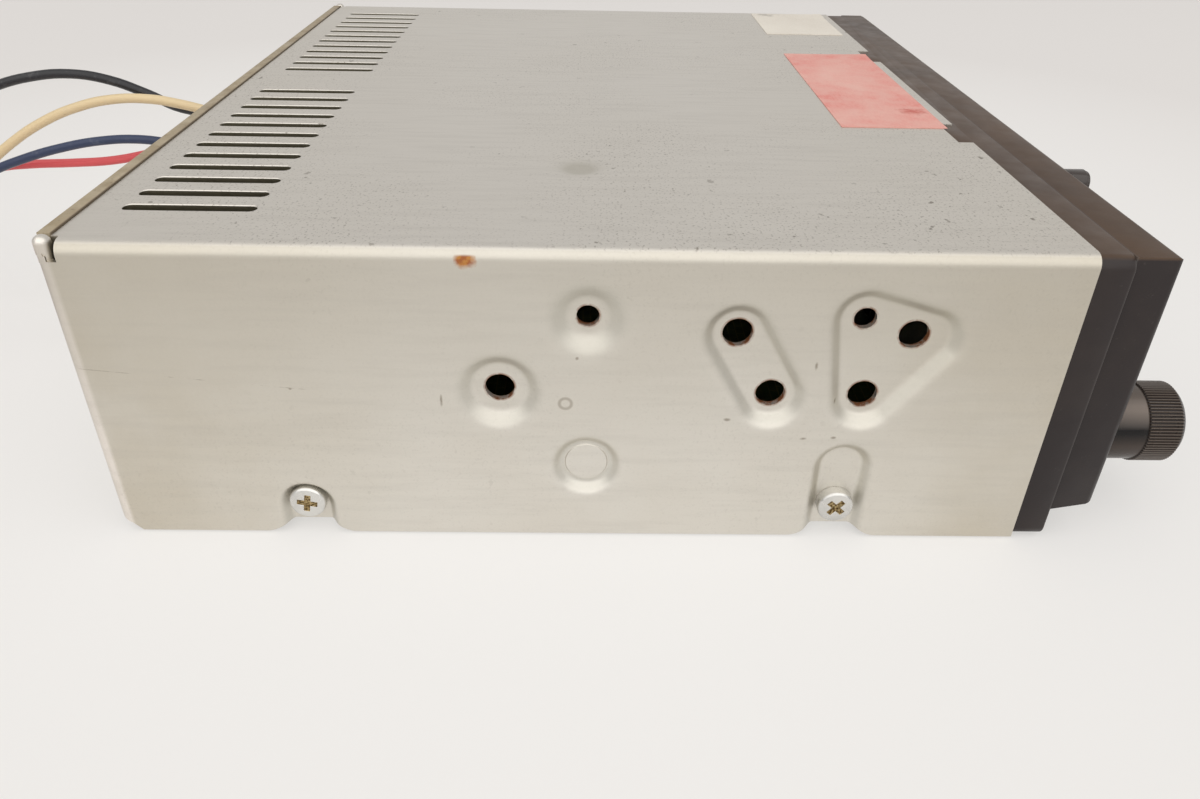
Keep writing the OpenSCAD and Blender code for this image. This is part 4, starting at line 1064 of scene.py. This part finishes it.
# Black front: frame, moulded panel, button
def black_moulding():
    f = Finish("black_moulding", (0.014, 0.009, 0.009), 0.42)
    f.shader.inputs["Specular IOR Level"].default_value = 0.42
    worn = f.cloud((60, 5), 0.45, 0.72)
    dust = f.cloud((900, 4, 0.7), 0.64, 0.76)
    tone = f.mix(worn, (0.013, 0.0075, 0.0075), (0.022, 0.014, 0.012))
    crown = min(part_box("front_frame")[1].z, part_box("front_panel")[1].z)
    # The top faces are painted a paler brown: partly brown dust, partly a painted sheen standing for the grazing
    # reflection on them.
    painted_sheen = f.range(f.axis("Z"), crown - 0.5 * MM, crown - 0.15 * MM)
    tone = f.mix(f.times(painted_sheen, f.cloud((70, 4), 0.3, 0.7, 0.6, 1.0)), tone, (0.085, 0.048, 0.026))
    tone = f.mix(f.times(dust, 0.2), tone, (0.12, 0.105, 0.09))
    # Painted highlight: a thin paler line along the joint of the frame and the panel, as if its rounded edge caught
    # the light.
    joint_highlight = f.apart(f.axis("Y"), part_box("front_frame")[0].y)
    f.colour(f.mix(f.range(joint_highlight, 0.05 * MM, 0.3 * MM, 0.35, 0.0), tone, (0.11, 0.1, 0.095)))
    f.rough(f.cloud((220, 4), 0.3, 0.7, 0.36, 0.5))
    f.bump(f.cells(2600), 0.14, 0.04 * MM)
    return f.material


place_softened(black_moulding(), "case", "black_moulding", 0.3 * MM, "front_frame", "front_panel")
button_plastic = plastic_finish("button_plastic", (0.044, 0.034, 0.03), 0.22, 1500, 0.05)
place_softened(button_plastic, "power_key", "knob_plastic", 0.25 * MM, "power_button")

# Knobs: a smooth skirt, a fine-ribbed grip, and a dished face with a white index line
rib_count = 78
rib_depth = 0.25 * MM
rib_len = 6.4 * MM
skirt_set = 0.3 * MM
rib_lead = 0.12 * MM
rib_chamfer = 0.3 * MM
face_dish = 0.4 * MM
index_white = plastic_finish("index_line", (0.72, 0.7, 0.66), 0.5, 1800, 0.0)


def knob_moulding():
    """Glossy skirt with a painted highlight band on its upper flank and a painted brown reflection on its lower half,
    and ribs painted paler along their crests as a highlight.
    """
    f = Finish("knob_plastic", (0.03, 0.022, 0.02), 0.2)
    f.shader.inputs["Specular IOR Level"].default_value = 0.3
    y, z = f.axis("Y"), f.axis("Z")
    low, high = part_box("volume_knob")
    middle, radius = (low.z + high.z) / 2, (high.x - low.x) / 2
    away = [f.distance(sum(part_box(node), Vector()) / 2 / MM, (1, 0, 1)) for node in ("volume_knob", "tone_knob")]
    # Painted highlight: the ribs are paler along their crests.
    crest_highlight = f.range(f.math("MINIMUM", *away), (radius - rib_depth) / MM, radius / MM)
    grip = f.mix(crest_highlight, (0.02, 0.014, 0.012), (0.105, 0.083, 0.068))
    # Painted highlight: a pale band across the upper flank of the skirt.
    painted_sheen = f.range(f.apart(z, middle + 0.74 * radius), 0.04 * radius, 0.44 * radius, 1.0, 0.0)
    skirt = f.mix(painted_sheen, (0.006, 0.005, 0.005), (0.19, 0.155, 0.132))
    # Painted reflection: the lower half of the skirt is brown, below a dark band.
    skirt = f.mix(f.range(z, middle + 0.2 * radius, middle - 0.15 * radius), skirt, (0.05, 0.036, 0.029))
    front = low.y + rib_len
    tone = f.mix(f.range(y, front - 0.05 * MM, front + 0.05 * MM), grip, skirt)
    f.colour(f.mix(f.cloud((420, 6, 0.7), 0.56, 0.74, 0.0, 0.12), tone, (0.14, 0.12, 0.1)))
    f.rough(f.cloud((160, 3), 0.3, 0.7, 0.16, 0.3))
    f.bump(f.noise(1500, 2), 0.12, 0.03 * MM)
    return f.material


knob_plastic = knob_moulding()


def make_knob(node, body):
    low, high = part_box(node)
    centre = Vector(((low.x + high.x) / 2, high.y, (low.z + high.z) / 2))
    outer = (high.x - low.x) / 2
    length = high.y - low.y
    skirt = outer - skirt_set
    valley = outer - rib_depth
    rim = valley - 0.15 * MM
    along = Vector((0, -1, 0))
    grip = length - rib_len
    sides = rib_count * 4
    rings = [(skirt - 0.4 * MM, 0), (skirt - 0.08 * MM, 0.12 * MM), (skirt, 0.45 * MM), (skirt, grip - 0.1 * MM),
             (skirt + 0.1 * MM, grip), (valley - 0.2 * MM, grip), (valley, grip + rib_lead)]
    knob = closed_ring(node + "_piece", rings, centre, along, sides)

    def is_rib(co):
        turn = math.atan2(co.z - centre.z, co.x - centre.x) / (2 * math.pi) * sides
        return int(round(turn)) % 4 < 2

    start = grip + 0.25 * MM
    end = length - 0.95 * MM
    behind = centre.y - start + 0.06 * MM
    push(along * (start - grip - rib_lead))
    pick(knob, lambda co: co.y < behind and is_rib(co))
    scale_ring(outer / valley, centre, along)
    pick(knob, lambda co: co.y < behind)
    push(along * (end - start))
    ahead = centre.y - end - 0.1 * MM
    push(along * rib_chamfer)
    pick(knob, lambda co: co.y < ahead and is_rib(co))
    scale_ring(rim / outer, centre, along)
    pick(knob, lambda co: co.y < ahead and not is_rib(co))
    scale_ring(rim / valley, centre, along)
    pick(knob, lambda co: co.y < ahead)
    face = [(rim, end + rib_chamfer), (rim - 0.35 * MM, end + 0.75 * MM), (rim - 0.8 * MM, length),
            (rim - 1.5 * MM, length), (rim - 1.8 * MM, length - 0.3 * MM), (0.8 * MM, length - face_dish)]
    loft(face, centre, along)
    bpy.ops.mesh.edge_face_add()
    face_outwards()
    done()
    smooth(knob, 30)
    place_piece(knob, knob_plastic, body, "knob_plastic", node)
    face_end = centre.y - length + face_dish
    line = box_piece(node + "_index", (centre.x - 0.35 * MM, face_end - 0.3 * MM, centre.z + 1.2 * MM),
                     (centre.x + 0.35 * MM, face_end + 0.3 * MM, centre.z + 4.2 * MM))
    round_edges(line, 0.12 * MM)
    smooth(line)
    place_piece(line, index_white, body, "knob_plastic")


make_knob("volume_knob", "volume_control")
make_knob("tone_knob", "tone_control")


# Screws: bright pan heads with dirt in the cross recess
def recess_dirt():
    f = Finish("recess_dirt", (0.3, 0.2, 0.06), 0.7, 0.3)
    f.colour(f.mix(f.cloud((2600, 3), 0.4, 0.6), (0.68, 0.55, 0.3), (0.14, 0.085, 0.03)))
    f.bump(f.noise(2200, 3), 0.4, 0.06 * MM)
    return f.material


screw_bright = metal_finish("screw_steel", (0.74, 0.73, 0.7), 0.28, (500, 500, 500))
dirt = recess_dirt()
dirt_top = 0.12 * MM
dirt_floor = 1.3 * MM
dirt_reach = 1.75 * MM


def make_screws(node, axis, middles):
    """Screws whose faces below the crown and inside the head's rim are dirty."""
    piece = place_piece(softened(node, 0.07 * MM, 2, 50), screw_bright, "case", "screw_steel", node)
    piece.data.materials.append(dirt)
    low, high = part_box(node)
    head_top = max(abs(low[axis]), abs(high[axis]))
    across = [k for k in range(3) if k != axis]
    for face in piece.data.polygons:
        deep = head_top - abs(face.center[axis])
        reach = min(math.hypot(*[face.center[k] - middle[k] for k in across]) for middle in middles)
        face.material_index = int(dirt_top < deep < dirt_floor and reach <= dirt_reach)


def row_middles(node):
    low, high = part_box(node)
    z = (low.z + high.z) / 2
    reach = (high.z - low.z) / 2
    return [Vector((low.x + reach, 0, z)), Vector((high.x - reach, 0, z))]


make_screws("cover_screws", 0, [on_side(screw) for screw in (rear_case_screw, front_case_screw)])
for node in ("rear_screws", "bracket_screws"):
    make_screws(node, 1, row_middles(node))


# Rear panel and rubber grommets
def aged_panel():
    f = Finish("aged_panel", (0.42, 0.35, 0.24), 0.6, 0.35)
    patches = f.cloud((160, 6, 0.65), 0.35, 0.66)
    tone = f.mix(patches, (0.47, 0.4, 0.285), (0.33, 0.26, 0.165))
    pits = f.cloud((1600, 3), 0.62, 0.72, 0.0, 0.45)
    tone = f.mix(pits, tone, (0.14, 0.1, 0.06))
    # Painted shade: the panel's inner face is near black, and dark brown along the strip that stands above the cover.
    painted_inner_shade = f.range(f.axis("Y"), panel_y + 0.05 * MM, panel_y + 0.3 * MM, 1.0, 0.0)
    above = f.range(f.axis("Z"), top_z - 0.3 * MM, top_z - 0.1 * MM)
    f.colour(f.mix(painted_inner_shade, tone, f.mix(above, (0.018, 0.016, 0.014), (0.15, 0.115, 0.075))))
    f.rough(f.cloud((300, 4), 0.3, 0.7, 0.5, 0.75))
    f.bump(f.noise(700, 5, 0.7), 0.5, 0.12 * MM)
    return f.material


panel_corner_in = 0.8 * MM
panel = softened("rear_panel", 0.25 * MM)
edit(panel)
pick(panel, lambda co: co.z > top_z + 0.3 * MM)
bpy.ops.transform.translate(value=(0, 0, -lip_drop))
for way in (-1, 1):
    pick(panel, lambda co: co.z > top_z - MM and co.x * way > half_w - 3 * MM)
    bpy.ops.transform.translate(value=(-way * panel_corner_in, 0, 0))
done()
place_piece(panel, aged_panel(), "case", "aged_panel", "rear_panel")

rubber = plastic_finish("grommet_rubber", (0.028, 0.027, 0.027), 0.62, 1200, 0.1)
place_softened(rubber, "case", "grommet_rubber", 0.3 * MM, "speaker_grommet", "power_grommet", segments=3)


# Labels: thin paper, faded and scuffed, with a lifted corner
def paper_label(name, ground, faded, scuff_place, scuff_tone):
    f = Finish(name, ground, 0.6)
    fading = f.cloud((55, 6, 0.62), 0.34, 0.66)
    fibre = f.range(f.noise(1, 3, 0.6, f.stretch((900, 2400, 900))), 0.35, 0.7)
    tone = f.mix(fading, ground, faded)
    tone = f.mix(f.times(fibre, 0.25), tone, tuple(min(c * 1.25, 0.9) for c in faded))
    ragged = f.times(f.noise(700, 4), 5)
    scuff = f.range(f.math("ADD", f.distance(scuff_place, (0.9, 0.7, 1)), ragged), 3.0, 4.8, 0.75, 0)
    mottle = f.cloud((240, 4, 0.6), 0.42, 0.62, 0.0, 0.55)
    tone = f.mix(mottle, tone, faded)
    f.colour(f.mix(scuff, tone, scuff_tone))
    f.rough(f.range(fading, 0, 1, 0.5, 0.68))
    f.bump(fibre, 0.15, 0.03 * MM)
    return f.material


label_t = 0.12 * MM
label_curl = ((9, 0.03), (5, 0.06), (2.5, 0.08))  # reach from the corner, lift


def make_label(node, finish, slot):
    low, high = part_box(node)
    clear()
    bpy.ops.mesh.primitive_grid_add(x_subdivisions=24, y_subdivisions=24, size=1, location=(low + high) / 2)
    bpy.context.object.scale = (high.x - low.x, high.y - low.y, 1)
    label = settle(node + "_sheet")
    label.location.z = low.z - (low.z + high.z) / 2 + 0.02 * MM
    bpy.ops.object.transform_apply(location=True)
    edit(label)
    for reach, lift in label_curl:
        pick(label, lambda co: co.x > high.x - reach * MM and co.y < low.y + reach * MM)
        bpy.ops.transform.translate(value=(0, 0, lift * MM))
    done()
    thicken(label, label_t, 1)
    smooth(label)
    place_piece(label, finish, "case", slot, node)


red_paper = paper_label("red_paper", (0.7, 0.21, 0.175), (0.75, 0.43, 0.37), (-18, -67.2, 50), (0.5, 0.075, 0.05))
white_paper = paper_label("white_paper", (0.68, 0.62, 0.54), (0.75, 0.7, 0.62), (84, -54, 50), (0.37, 0.34, 0.3))
make_label("red_label", red_paper, "red_paper")
make_label("white_label", white_paper, "white_paper")


# Carried-over solids: finishes for what shows through gaps, on the front and below
def dress(finish, *names):
    for name in names:
        coat(nodes[name], finish)


def board_lacquer():
    f = Finish("board_lacquer", (0.16, 0.22, 0.06), 0.35)
    rows = f.node("ShaderNodeTexBrick", Vector=f.stretch((160, 160, 160)), Scale=1.0)
    rows.inputs["Color1"].default_value = (0.2, 0.26, 0.08, 1)
    rows.inputs["Color2"].default_value = (0.16, 0.22, 0.06, 1)
    rows.inputs["Mortar"].default_value = (0.34, 0.33, 0.12, 1)
    f.colour(f.mix(f.cloud((200, 4), 0.4, 0.7), rows.outputs["Color"], (0.12, 0.16, 0.05)))
    f.rough(f.cloud((300, 3), 0.3, 0.7, 0.28, 0.45))
    return f.material


tray_steel = metal_finish("tray_steel", (0.66, 0.65, 0.61), 0.42)
place_softened(tray_steel, "case", "plated_steel", 0.12 * MM, "chassis_tray")
dark_plastic = plastic_finish("dark_plastic", (0.05, 0.048, 0.046), 0.45)
place_softened(dark_plastic, "case", "dark_plastic", 0.15 * MM, "microphone_jack", "pilot_holder")
dress(dark_plastic, "power_switch")
nut_metal = metal_finish("nut_metal", (0.72, 0.71, 0.68), 0.28)
place_softened(nut_metal, "case", "nut_metal", 0.2 * MM, "jack_nut")
dress(nut_metal, "volume_nut", "tone_nut")
for finish, colour, rough, grain, names in (
        ("shaft_metal", (0.74, 0.73, 0.7), 0.3, (400, 3000, 400), ("volume_shaft", "tone_shaft")),
        ("pot_case", (0.5, 0.48, 0.42), 0.4, (900, 900, 900), ("volume_pot", "tone_pot")),
        ("standoff_brass", (0.72, 0.54, 0.24), 0.3, (900, 900, 900), ("board_standoffs",)),
        ("bracket_metal", (0.7, 0.69, 0.66), 0.4, (2000, 200, 2000), ("heat_bracket",)),
        ("core_iron", (0.3, 0.27, 0.23), 0.5, (300, 6000, 300), ("transformer_core",))):
    dress(metal_finish(finish, colour, rough, grain), *names)
for finish, colour, rough, grain, dust, name in (
        ("red_lens", (0.42, 0.03, 0.022), 0.12, 600, 0.02, "pilot_light"),
        ("chip_plastic", (0.035, 0.035, 0.035), 0.5, 2600, 0.12, "power_chips"),
        ("winding_wrap", (0.52, 0.34, 0.1), 0.55, 900, 0.1, "transformer_winding"),
        ("blue_sleeve", (0.05, 0.1, 0.26), 0.3, 700, 0.06, "filter_capacitors"),
        ("dark_sleeve", (0.03, 0.035, 0.05), 0.3, 700, 0.06, "small_capacitors")):
    dress(plastic_finish(finish, colour, rough, grain, dust), name)
dress(screw_bright, "panel_screws", "board_screws", "chip_screws")
dress(board_lacquer(), "circuit_board")


# Stage: pale floor, soft light from above on the near side and a weaker one from the far side
def pale_floor():
    """A pale table top that seems lit from below to the eye and to the metal, and still takes the shadow."""
    f = Finish("pale_floor", (0.84, 0.825, 0.81), 0.6)
    f.colour(f.mix(f.cloud((3, 2), 0.3, 0.7), (0.85, 0.836, 0.822), (0.83, 0.813, 0.8)))
    path = f.node("ShaderNodeLightPath")
    seen = f.most(*[path.outputs[kind] for kind in ("Is Camera Ray", "Is Glossy Ray", "Is Transmission Ray")])
    # The glow is a painted pool of light: brighter near the middle of the stage, dimmer further out.
    far = f.range(f.distance((0, 0, 0)), 110, 330)
    glow = f.node("ShaderNodeEmission", Color=f.mix(far, (0.9, 0.885, 0.86), (0.71, 0.675, 0.645)))
    blend = f.node("ShaderNodeMixShader", Fac=f.times(seen, 0.58))
    f.feed(blend.inputs[1], f.shader.outputs["BSDF"])
    f.feed(blend.inputs[2], glow.outputs["Emission"])
    f.feed(f.tree.nodes["Material Output"].inputs["Surface"], blend.outputs["Shader"])
    return f.material


def lamp(name, place, size, power, tone):
    """A wide soft lamp aimed at the middle of the floor."""
    data = bpy.data.lights.new(name, "AREA")
    data.shape = "RECTANGLE"
    data.size, data.size_y = size
    data.energy = power
    data.color = tone
    light = new_object(name, data)
    light.location = place
    light.rotation_euler = (-Vector(place)).to_track_quat("-Z", "Y").to_euler()


def set_stage():
    clear()
    bpy.ops.mesh.primitive_plane_add(size=6, location=(0, 0, -0.05 * MM))
    floor = settle("floor")
    floor.data.materials.append(pale_floor())
    world = bpy.data.worlds.new("soft_room")
    world.use_nodes = True
    sky = world.node_tree.nodes["Background"].inputs
    sky["Color"].default_value = (1.0, 0.985, 0.97, 1)
    sky["Strength"].default_value = 0.47
    bpy.context.scene.world = world
    lamp("ceiling", place=(-0.85, 0.0, 1.05), size=(4.2, 2.5), power=33, tone=(1.0, 0.985, 0.96))
    lamp("far_side", place=(1.1, 0.0, 0.7), size=(4.2, 1.6), power=3.5, tone=(1.0, 0.98, 0.95))
    bpy.context.scene.view_settings.view_transform = "Standard"


set_stage()
